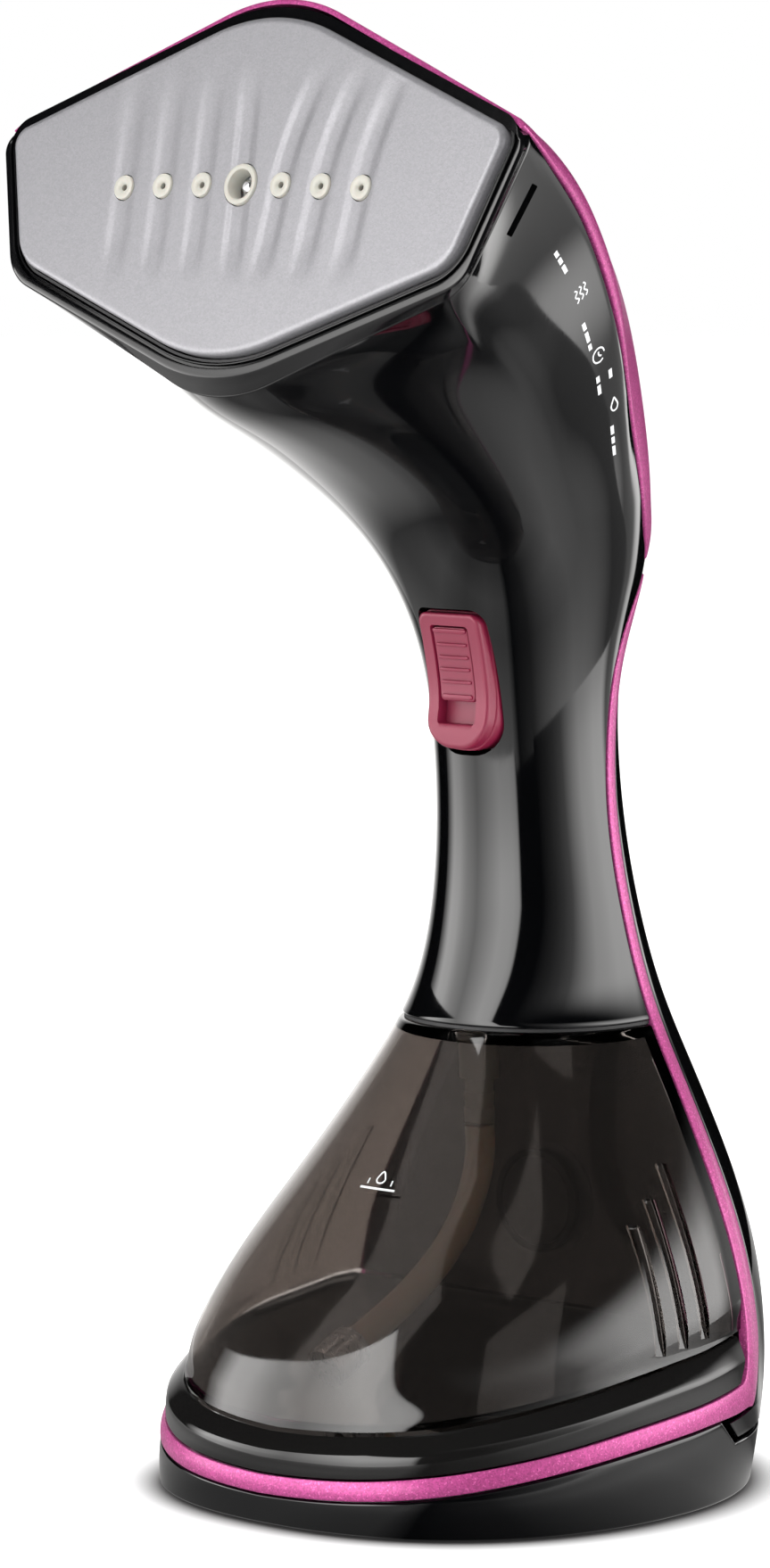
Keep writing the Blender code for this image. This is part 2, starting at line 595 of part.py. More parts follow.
def steam_chamber():
    block = hexagon(CHAMBER_REACH, (20, 5, 6, 20), 4, 0)
    add("steam_chamber", stack([face_ring(block, n) for n in (-3.4, -14.0)]), "cast_aluminium", 30)
    lid = hexagon(grown(CHAMBER_REACH, -2), (20, 5, 6, 20), 4, 0)
    add("chamber_lid", stack([face_ring(lid, n) for n in (-14.3, -16.5)]), "steel", 30)
    add("thermostat", turned(on_face(-20, 2, -16.8), -FACE_OUT, ((7, 0), (7, 4), (4.5, 4), (4.5, 8)), 20),
        "steel", 30)
    add("thermal_fuse", turned(on_face(10, -10, -19.2), (1, 0, 0), ((2.1, 0), (2.1, 14)), 14), "inner_plastic", 30)
    for name, x in (("heater_terminal_left", -30), ("heater_terminal_right", 30)):
        add(name, turned(on_face(x, -8, -16.8), -FACE_OUT, ((2.2, 0), (2.2, 3), (0.9, 3), (0.9, 8)), 12), "steel", 30)
    add("steam_inlet", turned(on_face(0, 6, -16.8), -FACE_OUT, ((3.4, 0), (3.4, 3), (2.2, 3), (2.2, 9)), 16, 1.1),
        "steel", 30)


# ---------------------------------------------------------------- tank

def tank_back(u):
    """Where the tank's flat rear meets the strip: x and y at this station."""
    return float(table(STRIP_FRONT, max(u, 2.0)) - along_angle(u, 15.0, GAP + 0.3))


def tank_column(u_rows, s, inset, back_points):
    """Rings round the tank: along the skin from the right rear edge to the left, then along the flat rear."""
    rings = []
    for u in u_rows:
        u = np.broadcast_to(u, s.shape)
        edge = np.array([tank_back(k) for k in u])
        angle = edge + s * (-180 - 2 * edge)
        ring = skin(u, angle, inset)
        right, left = ring[0].copy(), ring[-1].copy()
        if inset:
            ring = ring[1:-1].copy()
            right, left = ring[0].copy(), ring[-1].copy()
            back = bare_skin(u[0], edge[0])[1] - inset
            right[1] = left[1] = back
            right[0] = float(half_width(back, right[2])) - inset - 0.3
            left[0] = -right[0]
            ring[0], ring[-1] = right, left
        t = np.linspace(0, 1, back_points + 2)[1:-1, None]
        rings.append(np.concatenate([ring, left + t * (right - left)]))
    return rings


def flange_edge(angle, which):
    """Station of the tank base's lower or upper edge, or of the tank wall's lower edge."""
    side = front_side(angle)
    low = table(BAND_TOP, side)
    rise = np.interp(side, (-90, -60, -15, 20), (4.4, 4.0, 3.1, 2.8))
    add_mm = {"low": GAP, "high": rise, "wall": rise + GAP}[which]
    return low + along_u(low, side, add_mm)


def tank_rings(s, end, inset):
    """Rings of the tank wall from its slanting foot to a level end."""
    edge = tank_back(2.0)
    start = flange_edge(edge + s * (-180 - 2 * edge), "wall")
    sides = CLIMB[(CLIMB > start[0] + 0.1) & (CLIMB < end - 0.1)]
    steps = np.concatenate([[0], (sides - start[0]) / (end - start[0]), [1]])
    return np.array(tank_column([start + t * (end - start) for t in steps], s, inset, 6))


def base_line():
    """Heights along y of the upper edge of the tank base."""
    angle = np.linspace(-90, 19, 60)
    points = bare_skin(flange_edge(angle, "high"), angle)
    return points[:, 1], points[:, 2]


def tank_shell():
    """Smoked upper part of the tank, open underneath."""
    top, top_in = (float(station_of(SEAM_Z - GAP - mm)) for mm in (0, WALL))
    outer, inner = (tank_rings(np.linspace(0, 1, n), end, inset) for n, end, inset in ((29, top, 0), (31, top_in, WALL)))
    floor_y, floor_z = base_line()
    inner[0, :, 2] = np.interp(inner[0, :, 1], floor_y, floor_z) + GAP + 0.1
    count, columns = outer.shape[0] * outer.shape[1], outer.shape[1]
    last, last_in = (outer.shape[0] - 1) * columns, (inner.shape[0] - 1) * columns
    faces = grid_faces(outer.shape[0], columns, wrap=True) + grid_faces(inner.shape[0], columns, count, wrap=True)
    faces += [[c, (c + 1) % columns, count + (c + 1) % columns, count + c] for c in range(columns)]
    faces += [[last + c for c in range(columns)], [count + last_in + c for c in range(columns)]]
    tank = add("tank_shell", (np.concatenate([outer.reshape(-1, 3), inner.reshape(-1, 3)]), faces),
               "smoked_plastic", 40)
    slots = []
    for side in (1, -1):
        for y0, z0, y1, z1 in SLOT_LINES:
            ends = [np.array([side * float(half_width(y, z)), y, z]) for y, z in ((y0, z0), (y1, z1))]
            slots.append(tilted_box((ends[0] + ends[1]) / 2 - np.array([side * -1.4, 0, 0]), ends[1] - ends[0],
                                    (side, 0, 0), 22.0, 2.6, 3.6))
    cut(tank, "grip_slots", together(*slots))
    cut(tank, "tank_mouths", together(
        turned((0, 18, 52), (0, 1, 0), ((9.3, 0), (9.3, 14)), 24),
        turned((0, 5, 80), (0, 0, 1), ((4.3, 0), (4.3, 14)), 20)))


def tank_base():
    """Stepped base piece that closes the tank from below."""
    angles = np.concatenate([[-89.0, -86.0], np.linspace(-82, tank_back(2.0) - 2.2, 16)])
    add("tank_base", plate(angles, lambda a: flange_edge(a, "low"), lambda a: flange_edge(a, "high"), 0.05),
        "smoked_plastic", 30)


def tank_insides():
    """Outlet, hose, its weight, the face seal and the filler cap with its seal."""
    add("tank_outlet", turned((0, 5, 70.0), (0, 0, 1), ((2.9, 0), (2.9, 9), (3.9, 9), (3.9, 20.4)), 20, 1.9),
        "nozzle_ivory", 30)
    add("tank_hose", pipe([(0, 5, 69.6), (0, 4.4, 60), (0, -3.5, 47), (0, -18, 37), (0, -31, 31.0)], 2.9, 1.7, 10, 12),
        "clear_silicone", 60)
    axis = np.array([0, -31 + 18, 31 - 37.0])
    start = np.array([0, -31, 31.0]) + axis / np.linalg.norm(axis) * 0.4
    add("hose_weight", turned(start, axis, ((4.2, 0), (4.2, 9)), 18, 1.2), "steel", 30)
    add("filler_cap", turned((0, tank_rear() + 1.9, 52), (0, -1, 0), ((11.5, 0), (11.5, 1.3), (8.9, 1.3), (8.9, 6.0)), 28),
        "inner_plastic", 30, pivot=(0, tank_rear(), 52))
    add("cap_seal", turned((0, tank_rear() - WALL - 0.4, 52), (0, -1, 0), ((10.4, 0), (10.4, 1.6)), 24, 9.15),
        "black_rubber", 30)


def tank_rear():
    return float(bare_skin(station_of(52.0), tank_back(station_of(52.0)))[1])


# ---------------------------------------------------------------- base, dock and drive parts

def base_parts():
    angles = np.concatenate([[-89.0, -86.0], np.linspace(-81, 81, 23), [86.0, 89.0]])
    add("base_plate", plate(angles, lambda a: station_of(1.0), lambda a: station_of(3.0), WALL + 0.5),
        "inner_plastic", 30)
    for k, (x, y) in enumerate(((-34, -26), (34, -26), (-33, 34), (33, 34)), 1):
        add(f"foot_pad_{k}", turned((x, y, 0), (0, 0, 1), ((5.5, 0), (6.0, 0.4), (6.0, 0.75)), 20), "black_rubber", 30)
        add(f"base_screw_{k}", turned((x * 0.62, y * 0.78, 0.8), (0, 0, -1), ((2.9, 0), (2.9, 0.3), (2.2, 0.7)), 14),
            "steel", 30)
    angles = np.concatenate([[-89.0, -86.0], np.linspace(-81, 16, 14)])

    def under(mm):
        return lambda a: table(BAND_TOP, a) - along_u(table(BAND_TOP, a), a, mm)
    add("tank_deck", plate(angles, under(3.0), under(0.9), WALL + 0.6), "inner_plastic", 30)
    rear = tank_rear() + 2.9
    wide = [(z, float(half_width(rear, z)) - WALL - 2.2) for z in np.linspace(22, 89, 11)]
    ring = [(-w, z) for z, w in wide] + [(w, z) for z, w in wide[::-1]]
    add("dock_wall", stack([[(x, y, z) for x, z in ring] for y in (rear, rear + 1.8)]), "inner_plastic", 30)
    outline = skin(station_of(92.0), np.linspace(0, 352.5, 48), WALL + 1.6)
    top = add("dock_ceiling", stack([[(x, y, z) for x, y, _ in outline] for z in (92.0, 94.0)]),
              "inner_plastic", 30)
    cut(top, "outlet_hole", turned((0, 5, 86), (0, 0, 1), ((3.3, 0), (3.3, 12)), 20))
    add("outlet_seal", turned((0, 5, 91.0), (0, 0, 1), ((5.6, 0), (5.6, 0.7)), 20, 3.6), "black_rubber", 30)
    add("cord_gland", turned((0, 56.5, 19.0), (0, 1, 0),
                             ((6.6, 0), (6.6, 0.9), (4.6, 0.9), (4.6, 5.0), (5.4, 5.0), (4.6, 12.0)), 20, 3.2),
        "black_rubber", 30)
    add("control_board", box((-15, 36, 32), (15, 37.6, 78)), "board_green", 0)


def drive_parts():
    """Water pump in the handle and the hoses either side of it."""
    add("water_pump", turned((0, 20, 103), (0, 0, 1), ((3.4, 0), (3.4, 3), (9.2, 3), (9.2, 22), (5, 22), (5, 25),
                                                     (2.6, 25), (2.6, 29)), 24), "inner_plastic", 30)
    add("pump_hose_low", pipe([(0, 5, 94.4), (0, 6.6, 97.0), (0, 11, 98.4), (0, 16.0, 99.2)], 1.9, 1.0, 8, 6),
        "clear_silicone", 60)
    end = on_face(0, 6, -26.2)
    add("pump_hose_high", pipe([(0, 20, 133.2), (0, 26.5, 146), (0, 29, 170), (0, 22, 205), (0, -6, 236), end],
                               2.0, 1.1, 8, 14), "clear_silicone", 60)


def trigger_parts():
    """Trigger, its lock slider, pivot pin, return spring, switch and switch plunger."""
    def front_y(z):
        return float(bare_skin(station_on_front(z), -90.0)[1])

    zs = (TRIGGER_TOP, TRIGGER_FOOT)
    tilt = (front_y(zs[0]) - front_y(zs[1])) / (zs[0] - zs[1])

    def face_y(z, proud):
        return front_y(zs[1]) + tilt * (z - zs[1]) - proud

    rings = []
    for proud, shrink in ((TRIGGER_PROUD, 1.2), (TRIGGER_PROUD - 0.8, 0.35), (TRIGGER_PROUD - 2.2, 0.0), (-3.4, 0.0)):
        line = rounded_bar(TRIGGER_HALF - shrink, TRIGGER_TOP - shrink, TRIGGER_FOOT + shrink, 2.6, 6.6 - shrink)
        rings.append([(x, face_y(z, proud), z) for x, z in line])
    trigger = add("trigger", stack(rings), "magenta_plastic", 40, pivot=PIVOT)
    pocket = rounded_bar(LOCK_HALF + 0.3, LOCK_TOP + 0.3, POCKET_FOOT, 0.8, 0.8, 3)
    hollow = rounded_bar(TRIGGER_HALF - 1.4, TRIGGER_TOP - 1.6, TRIGGER_FOOT + 1.6, 1.6, 5.2)
    cut(trigger, "lock_pocket", stack([[(x, face_y(z, p), z) for x, z in pocket] for p in (6.0, 2.0)]))
    cut(trigger, "trigger_hollow", stack([[(x, face_y(z, p), z) for x, z in hollow] for p in (0.6, -6.0)]))
    slider = rounded_bar(LOCK_HALF, LOCK_TOP, LOCK_FOOT, 0.6, 0.6, 3)
    add("trigger_lock", stack([[(x, face_y(z, p), z) for x, z in slider] for p in (2.3, 4.1)]),
        "magenta_plastic", 30, pivot=(0, face_y(162, 3.2), 162))
    add("trigger_pin", turned(PIVOT - (6.5, 0, 0), (1, 0, 0), ((0.9, 0), (0.9, 13.0)), 12), "steel", 30)
    add("trigger_spring", turned(PIVOT - (4.0, 0, 0), (1, 0, 0), ((1.9, 0), (1.9, 8.0)), 14, 1.25), "steel", 30)
    tip = face_y(150.5, 0.6) + 0.45
    add("switch_plunger", turned((0, tip, 150.5), (0, 1, 0), ((1.3, 0), (1.3, 8.6 - tip)), 12), "nozzle_ivory", 30,
        pivot=(0, tip, 150.5))
    add("trigger_switch", box((-3.0, 10.6, 144.5), (3.0, 16.6, 157.5)), "inner_plastic", 0)


def station_on_front(z):
    """Station whose front point is at this height."""
    us = np.linspace(5, 12, 281)
    return np.interp(z, bare_skin(us, -90.0)[:, 2], us)


# ---------------------------------------------------------------- everything

def main():
    for thing in list(bpy.data.objects):
        bpy.data.objects.remove(thing)
    front_shell()
    top_cover()
    rear_shell()
    trim_strip()
    foot_shell()
    head_rings()
    nozzles()
    steam_chamber()
    tank_shell()
    tank_base()
    tank_insides()
    base_parts()
    drive_parts()
    trigger_parts()


main()
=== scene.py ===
"""Handheld garment steamer standing on its foot: the detailed skins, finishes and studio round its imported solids."""

import json
import logging
import math
from dataclasses import dataclass, field
from enum import Enum
from typing import Any, Optional, Sequence

import bmesh
import bpy
import numpy as np
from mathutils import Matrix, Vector

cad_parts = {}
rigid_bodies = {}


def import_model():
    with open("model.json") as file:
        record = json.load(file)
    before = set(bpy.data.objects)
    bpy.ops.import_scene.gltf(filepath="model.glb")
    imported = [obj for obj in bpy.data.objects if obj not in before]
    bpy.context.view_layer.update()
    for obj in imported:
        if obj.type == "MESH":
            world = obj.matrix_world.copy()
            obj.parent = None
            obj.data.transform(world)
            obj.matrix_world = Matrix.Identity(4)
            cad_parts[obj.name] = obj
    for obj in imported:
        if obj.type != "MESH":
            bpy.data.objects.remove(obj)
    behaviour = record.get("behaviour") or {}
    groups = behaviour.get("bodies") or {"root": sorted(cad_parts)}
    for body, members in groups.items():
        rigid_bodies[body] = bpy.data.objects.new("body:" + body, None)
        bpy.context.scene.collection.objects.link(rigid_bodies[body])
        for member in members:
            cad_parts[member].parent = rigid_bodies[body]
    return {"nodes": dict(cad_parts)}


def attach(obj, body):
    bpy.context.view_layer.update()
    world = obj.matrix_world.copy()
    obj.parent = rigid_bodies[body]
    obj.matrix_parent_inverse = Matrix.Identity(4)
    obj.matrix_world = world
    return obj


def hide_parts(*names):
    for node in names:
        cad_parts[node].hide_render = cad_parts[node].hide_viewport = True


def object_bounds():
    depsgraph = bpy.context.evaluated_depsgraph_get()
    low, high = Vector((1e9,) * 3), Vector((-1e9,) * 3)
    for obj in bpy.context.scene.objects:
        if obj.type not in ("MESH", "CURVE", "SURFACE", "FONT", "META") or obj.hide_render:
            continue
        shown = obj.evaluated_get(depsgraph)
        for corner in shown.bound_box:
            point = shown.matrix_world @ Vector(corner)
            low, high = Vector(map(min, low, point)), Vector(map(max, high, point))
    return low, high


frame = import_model()
CAD_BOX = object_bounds()
LOG = logging.getLogger("steamer")

# ---------------------------------------------------------------- shared sizes, millimetres and degrees

SHIFT_Y = 2.09  # from the drawing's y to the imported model's y
GAP = 0.3
WALL = 2.2
SEAM_Z = 90.8

# front y, front z, rear y, rear z, half width, front roundness, rear roundness, how hexagonal
STATIONS = np.array([
    [-59.0, 0.0, 57.0, 0.0, 56.2, 2.24, 2.05, 0.0],
    [-58.6, 10.0, 59.6, 10.0, 56.6, 2.24, 2.05, 0.0],
    [-52.9, 24.0, 61.3, 24.0, 55.4, 2.24, 2.10, 0.0],
    [-40.8, 42.0, 61.4, 42.0, 50.8, 2.24, 2.10, 0.0],
    [-25.5, 60.0, 58.3, 60.0, 42.6, 2.20, 2.10, 0.0],
    [-11.2, 80.0, 52.3, 80.0, 31.8, 2.10, 2.10, 0.0],
    [-1.5, 98.0, 46.1, 98.0, 23.6, 2.10, 2.10, 0.0],
    [1.8, 120.0, 40.3, 120.0, 19.3, 2.10, 2.10, 0.0],
    [1.1, 142.0, 37.0, 142.0, 18.0, 2.10, 2.10, 0.0],
    [-1.9, 161.0, 37.1, 161.0, 19.4, 2.10, 2.10, 0.0],
    [-7.8, 176.0, 39.8, 179.0, 24.0, 2.10, 2.20, 0.0],
    [-17.5, 188.0, 37.8, 196.0, 29.6, 2.10, 2.20, 0.0],
    [-31.0, 197.1, 30.6, 218.8, 36.1, 2.20, 2.30, 0.15],
    [-46.3, 204.5, 17.9, 246.0, 44.9, 2.20, 2.30, 0.40],
    [-60.4, 210.6, -1.8, 268.2, 52.3, 2.30, 2.30, 0.70],
    [-69.2, 215.3, -26.2, 280.6, 59.6, 2.30, 2.30, 0.95],
    [-72.5, 217.3, -51.9, 289.7, 66.2, 2.30, 2.30, 1.00],
])
LAST = len(STATIONS) - 1

FACE_CENTRE = np.array([0.0, -63.2, 255.0])
FACE_LEAN = math.radians(15.84)
FACE_UP = np.array([0.0, math.sin(FACE_LEAN), math.cos(FACE_LEAN)])
FACE_OUT = np.array([0.0, -math.cos(FACE_LEAN), math.sin(FACE_LEAN)])
FACE_EDGES = (68.4, -18.2, -69.4)
PLATE_REACH = (33.1, 57.0, 33.3)
BEZEL_REACH = (34.9, 60.8, 37.3)
COVER_DEPTH = 2.2  # how far behind the face the top cover stops
BEZEL_UNDER_COVER = (33.75, 60.8, 37.3)
CORNER_RADII = (40.0, 3.7, 10.0, 40.0)
NOZZLE_PITCH = 10.1
LEAD_HEIGHT = 19.0
TANK_OUTLET_Y = 5.0
CAP_HEIGHT = 52.0

STRIP_FRONT = ((2.0, 19.4), (2.2, 19.6), (2.7, 18.6), (3.25, 16.3), (3.8, 14.2), (4.35, 12.6), (4.9, 11.4),
               (5.55, 9.6), (6.1, 8.7), (6.6, 8.0), (7.0, 7.4), (7.3, 7.4), (7.65, 8.4), (8.0, 10.8),
               (8.45, 15.0), (9.05, 20.5), (9.55, 27.0), (9.8, 33.0), (10.02, 41.0))
STRIP_REAR = ((1.8, 26.8), (2.15, 27.2), (2.65, 26.2), (3.2, 24.0), (3.75, 22.0), (4.3, 20.4), (4.9, 19.0),
              (5.55, 17.8), (6.1, 17.4), (6.6, 17.2), (7.0, 17.2), (7.3, 17.5), (7.6, 18.6), (8.0, 22.0),
              (8.45, 28.5), (9.05, 37.0), (9.55, 42.5), (9.8, 44.0), (10.02, 44.6))
BAND_TOP = ((-90.0, 1.00), (-74.0, 1.06), (-64.6, 1.12), (-52.0, 1.23), (-41.0, 1.35), (-27.0, 1.51),
            (-15.0, 1.65), (1.0, 1.78), (12.0, 1.86), (24.0, 1.93))
BAND_FOOT = ((-90.0, 0.66), (-74.0, 0.72), (-64.6, 0.78), (-52.0, 0.90), (-41.0, 1.04), (-27.0, 1.22),
             (-15.0, 1.36), (1.0, 1.49), (12.0, 1.55), (24.0, 1.59))
COVER_EDGE = ((9.8, 42.0), (10.2, 34.0), (10.55, 26.5), (11.15, 19.5), (11.65, 15.5), (12.1, 12.0),
              (12.6, 8.8), (13.1, 7.2), (13.6, 6.8), (14.0, 6.9), (14.5, 7.0), (15.2, 7.4), (16.0, 9.3))
COVER_LIP = ((30.0, 10.08), (50.0, 10.58), (70.0, 10.76), (90.0, 10.82))
CLIMB = np.concatenate([np.linspace(2.25, 9.0, 16), [9.3, 9.6, 9.85, 10.0]])

Points = np.ndarray
Pairs = Sequence[tuple[float, float]]


class Body(Enum):
    """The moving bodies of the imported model."""

    MAIN = "main_body"
    TANK = "tank"
    CAP = "cap"
    TRIGGER = "trigger"
    LOCK = "lock"
    PLUNGER = "plunger"


# ---------------------------------------------------------------- curves and the body's surface


def spline(keys: Any, values: Any, at: Any) -> Points:
    """Natural cubic curve through values at keys.

    Args:
        keys: rising key of each value.
        values: one row per key.
        at: keys to read the curve at, held level past the ends.

    Returns:
        The curve's rows there, or plain numbers for one column.
    """
    keys = np.asarray(keys, float)
    values = np.asarray(values, float).reshape(len(keys), -1)
    step = np.diff(keys)
    rise = np.diff(values, axis=0) / step[:, None]
    system = np.eye(len(keys))
    pull = np.zeros_like(values)
    for i in range(1, len(keys) - 1):
        system[i, i - 1:i + 2] = step[i - 1], 2 * (step[i - 1] + step[i]), step[i]
        pull[i] = 6 * (rise[i] - rise[i - 1])
    bend = np.linalg.solve(system, pull)
    at = np.clip(np.asarray(at, float), keys[0], keys[-1])
    i = np.clip(np.searchsorted(keys, at, side="right") - 1, 0, len(keys) - 2)
    h = step[i]
    b = (at - keys[i]) / h
    h, a, b = h[..., None], (1 - b)[..., None], b[..., None]
    out = a * values[i] + b * values[i + 1] + ((a**3 - a) * bend[i] + (b**3 - b) * bend[i + 1]) * h * h / 6
    return out[..., 0] if out.shape[-1] == 1 else out


def table(pairs: Pairs, at: Any) -> Points:
    """Smooth curve through (key, value) pairs, read at other keys."""
    keys, values = zip(*pairs)
    return spline(keys, values, at)


def smooth_step(t: Any) -> Points:
    """Eased 0 to 1 ramp."""
    t = np.clip(t, 0, 1)
    return t * t * (3 - 2 * t)


def unit(v: Points) -> Points:
    """Vectors made one long."""
    return v / np.maximum(np.linalg.norm(v, axis=-1, keepdims=True), 1e-12)


def hexagon(reach: Sequence[float], grow: float = 0.0, arc: int = 14, edge: int = 10) -> Points:
    """Rounded hexagon of the steam head.

    Args:
        reach: distance of the upper, side and lower edges from the middle nozzle.
        grow: how far outside that outline it runs.
        arc: points on each rounded corner.
        edge: points inside each straight edge.

    Returns:
        Points (across, up), anticlockwise from the right, the same number for every outline.
    """
    lines = [(math.radians(a), d + grow) for a, d in zip(FACE_EDGES, reach)]
    lines += [(math.pi - a, d) for a, d in lines[::-1]]
    lines = sorted((a % (2 * math.pi), d) for a, d in lines)
    top, high, low, foot = (r + grow for r in CORNER_RADII)
    corners = []
    for k, radius in enumerate((top, high, low, foot, low, high)):
        (a0, d0), (a1, d1) = lines[k], lines[(k + 1) % 6]
        turn = (a1 - a0) % (2 * math.pi)
        tip = np.linalg.solve([[math.cos(a0), math.sin(a0)], [math.cos(a1), math.sin(a1)]], [d0, d1])
        middle = tip - radius / math.cos(turn / 2) * np.array([math.cos(a0 + turn / 2), math.sin(a0 + turn / 2)])
        t = a0 + np.linspace(0, turn, arc)
        corners.append(middle + radius * np.stack([np.cos(t), np.sin(t)], -1))
    out = []
    for k, corner in enumerate(corners):
        after = corners[(k + 1) % 6][0]
        out += [corner, corner[-1] + np.linspace(0, 1, edge + 2)[1:-1, None] * (after - corner[-1])]
    return np.concatenate(out)


@dataclass(frozen=True)
class BodySkin:
    """The body's outer surface, read by station (foot to steam head) and angle (0 right, 90 rear, -90 front)."""

    rim: Points = field(default_factory=lambda: hexagon(BEZEL_REACH, 0.0, 48, 60))

    def polar(self, angle: Points) -> tuple[Points, Points]:
        """Where rays at these angles leave the head's outline."""
        spin = np.arctan2(self.rim[:, 1], self.rim[:, 0])
        order = np.argsort(spin)
        spin, reach = spin[order], np.hypot(self.rim[:, 0], self.rim[:, 1])[order]
        spin = np.concatenate([spin - 2 * math.pi, spin, spin + 2 * math.pi])
        turned = (angle + math.pi) % (2 * math.pi) - math.pi
        r = np.interp(turned, spin, np.tile(reach, 3))
        return r * np.cos(angle), r * np.sin(angle)

    def bare(self, u: Any, angle: Any) -> Points:
        """Points on the surface at stations and angles."""
        u, angle = np.broadcast_arrays(np.asarray(u, float), np.radians(np.asarray(angle, float)))
        row = spline(np.arange(LAST + 1), STATIONS, u)
        front_y, front_z, rear_y, rear_z, wide, front_n, rear_n, hexed = np.moveaxis(row, -1, 0)
        hexed = np.clip(hexed, 0, 1)
        widest, lowest, highest = self.rim[:, 0].max(), -self.rim[:, 1].min(), self.rim[:, 1].max()
        length = np.hypot(rear_y - front_y, rear_z - front_z)
        low = length * ((1 - hexed) * 0.5 + hexed * lowest / (lowest + highest))
        high = length - low
        c, s = np.cos(angle), np.sin(angle)
        n = np.where(s < 0, front_n, rear_n)
        x_round = wide * np.sign(c) * np.abs(c) ** (2 / n)
        w_round = np.where(s < 0, low, high) * np.sign(s) * np.abs(s) ** (2 / n)
        x_hex, w_hex = self.polar(angle)
        x = (1 - hexed) * x_round + hexed * x_hex / widest * wide
        w = (1 - hexed) * w_round + hexed * np.where(w_hex < 0, w_hex / lowest * low, w_hex / highest * high) + low
        return np.stack([x, front_y + w * (rear_y - front_y) / length, front_z + w * (rear_z - front_z) / length], -1)

    def at(self, u: Any, angle: Any, inset: Any = 0.0) -> Points:
        """Points on the surface, moved inward by inset."""
        u, angle = np.broadcast_arrays(np.asarray(u, float), np.asarray(angle, float))
        here = self.bare(u, angle)
        if np.all(np.asarray(inset) == 0):
            return here
        below, above = np.clip(u - 0.02, 0, LAST), np.clip(u + 0.02, 0, LAST)
        normal = unit(np.cross(self.bare(u, angle + 1.2) - self.bare(u, angle - 1.2),
                               self.bare(above, angle) - self.bare(below, angle)))
        return here - normal * np.asarray(inset)[..., None]

    def per_station(self, u: Any, angle: Any, mm: Any) -> Points:
        """Station change that moves this far over the surface."""
        return 0.02 * mm / np.linalg.norm(self.bare(u + 0.01, angle) - self.bare(u - 0.01, angle), axis=-1)

    def per_angle(self, u: Any, angle: Any, mm: Any) -> Points:
        """Angle change that moves this far over the surface."""
        return mm / np.linalg.norm(self.bare(u, angle + 0.5) - self.bare(u, angle - 0.5), axis=-1)

    def station_of(self, z: Any) -> Points:
        """Station of a level ring below the trigger."""
        us = np.linspace(0, 9, 181)
        return np.interp(z, spline(np.arange(LAST + 1), STATIONS, us)[:, 1], us)

    def half_width(self, y: Any, z: Any) -> Points:
        """Half width at a place in the side view, on the level part of the body."""
        row = spline(np.arange(LAST + 1), STATIONS, self.station_of(z))
        middle, reach = (row[..., 0] + row[..., 2]) / 2, (row[..., 2] - row[..., 0]) / 2
        w = np.clip((y - middle) / reach, -1, 1)
        n = np.where(w < 0, row[..., 5], row[..., 6])
        return row[..., 4] * (1 - np.abs(w) ** n) ** (1 / n)

    def at_depth(self, angle: Any, depth: float) -> Points:
        """Station where the surface is this deep behind the head's face."""
        us = np.linspace(13, LAST, 121)
        angle = np.atleast_1d(np.asarray(angle, float))
        deep = (FACE_CENTRE - self.bare(us[:, None], angle[None])) @ FACE_OUT
        return np.array([np.interp(-depth, -deep[:, i], us) for i in range(len(angle))])

    def front_y(self, z: float) -> float:
        """Depth of the front profile at a height on the handle."""
        us = np.linspace(5, 12, 281)
        return float(self.bare(np.interp(z, self.bare(us, -90.0)[:, 2], us), -90.0)[1])


SKIN = BodySkin()


def front_side(angle: Any) -> Points:
    """Folds an angle onto the right half, -90 at the front to 90 at the rear."""
    angle = (np.asarray(angle, float) + 180) % 360 - 180
    return np.where(np.abs(angle) > 90, np.where(angle > 0, 180 - angle, -180 - angle), angle)


def on_face(across: Any, up: Any, out: Any) -> Points:
    """Points given in the steam head's own frame."""
    across, up, out = (np.asarray(v, float)[..., None] for v in np.broadcast_arrays(across, up, out))
    return FACE_CENTRE + across * np.array([1.0, 0.0, 0.0]) + up * FACE_UP + out * FACE_OUT


# ---------------------------------------------------------------- mesh shapes


@dataclass
class Shape:
    """Points in millimetres of the drawing frame, and faces between them."""

    points: Points
    faces: list[list[int]]

    def __add__(self, other: "Shape") -> "Shape":
        """Both shapes as one."""
        moved = [[i + len(self.points) for i in face] for face in other.faces]
        return Shape(np.concatenate([self.points, other.points]), self.faces + moved)

    def mirrored(self) -> "Shape":
        """The same shape on the other side of the body."""
        return Shape(self.points * np.array([-1.0, 1.0, 1.0]), [face[::-1] for face in self.faces])


def grid_faces(rows: int, columns: int, start: int = 0, wrap: bool = False) -> list[list[int]]:
    """Quads of a grid of points numbered row by row."""
    last = columns if wrap else columns - 1
    return [[start + r * columns + c, start + r * columns + (c + 1) % columns,
             start + (r + 1) * columns + (c + 1) % columns, start + (r + 1) * columns + c]
            for r in range(rows - 1) for c in range(last)]


def bridge(a: Sequence[int], b: Sequence[int]) -> list[list[int]]:
    """Quads between two closed loops of the same length."""
    n = len(a)
    return [[a[i], a[(i + 1) % n], b[(i + 1) % n], b[i]] for i in range(n)]


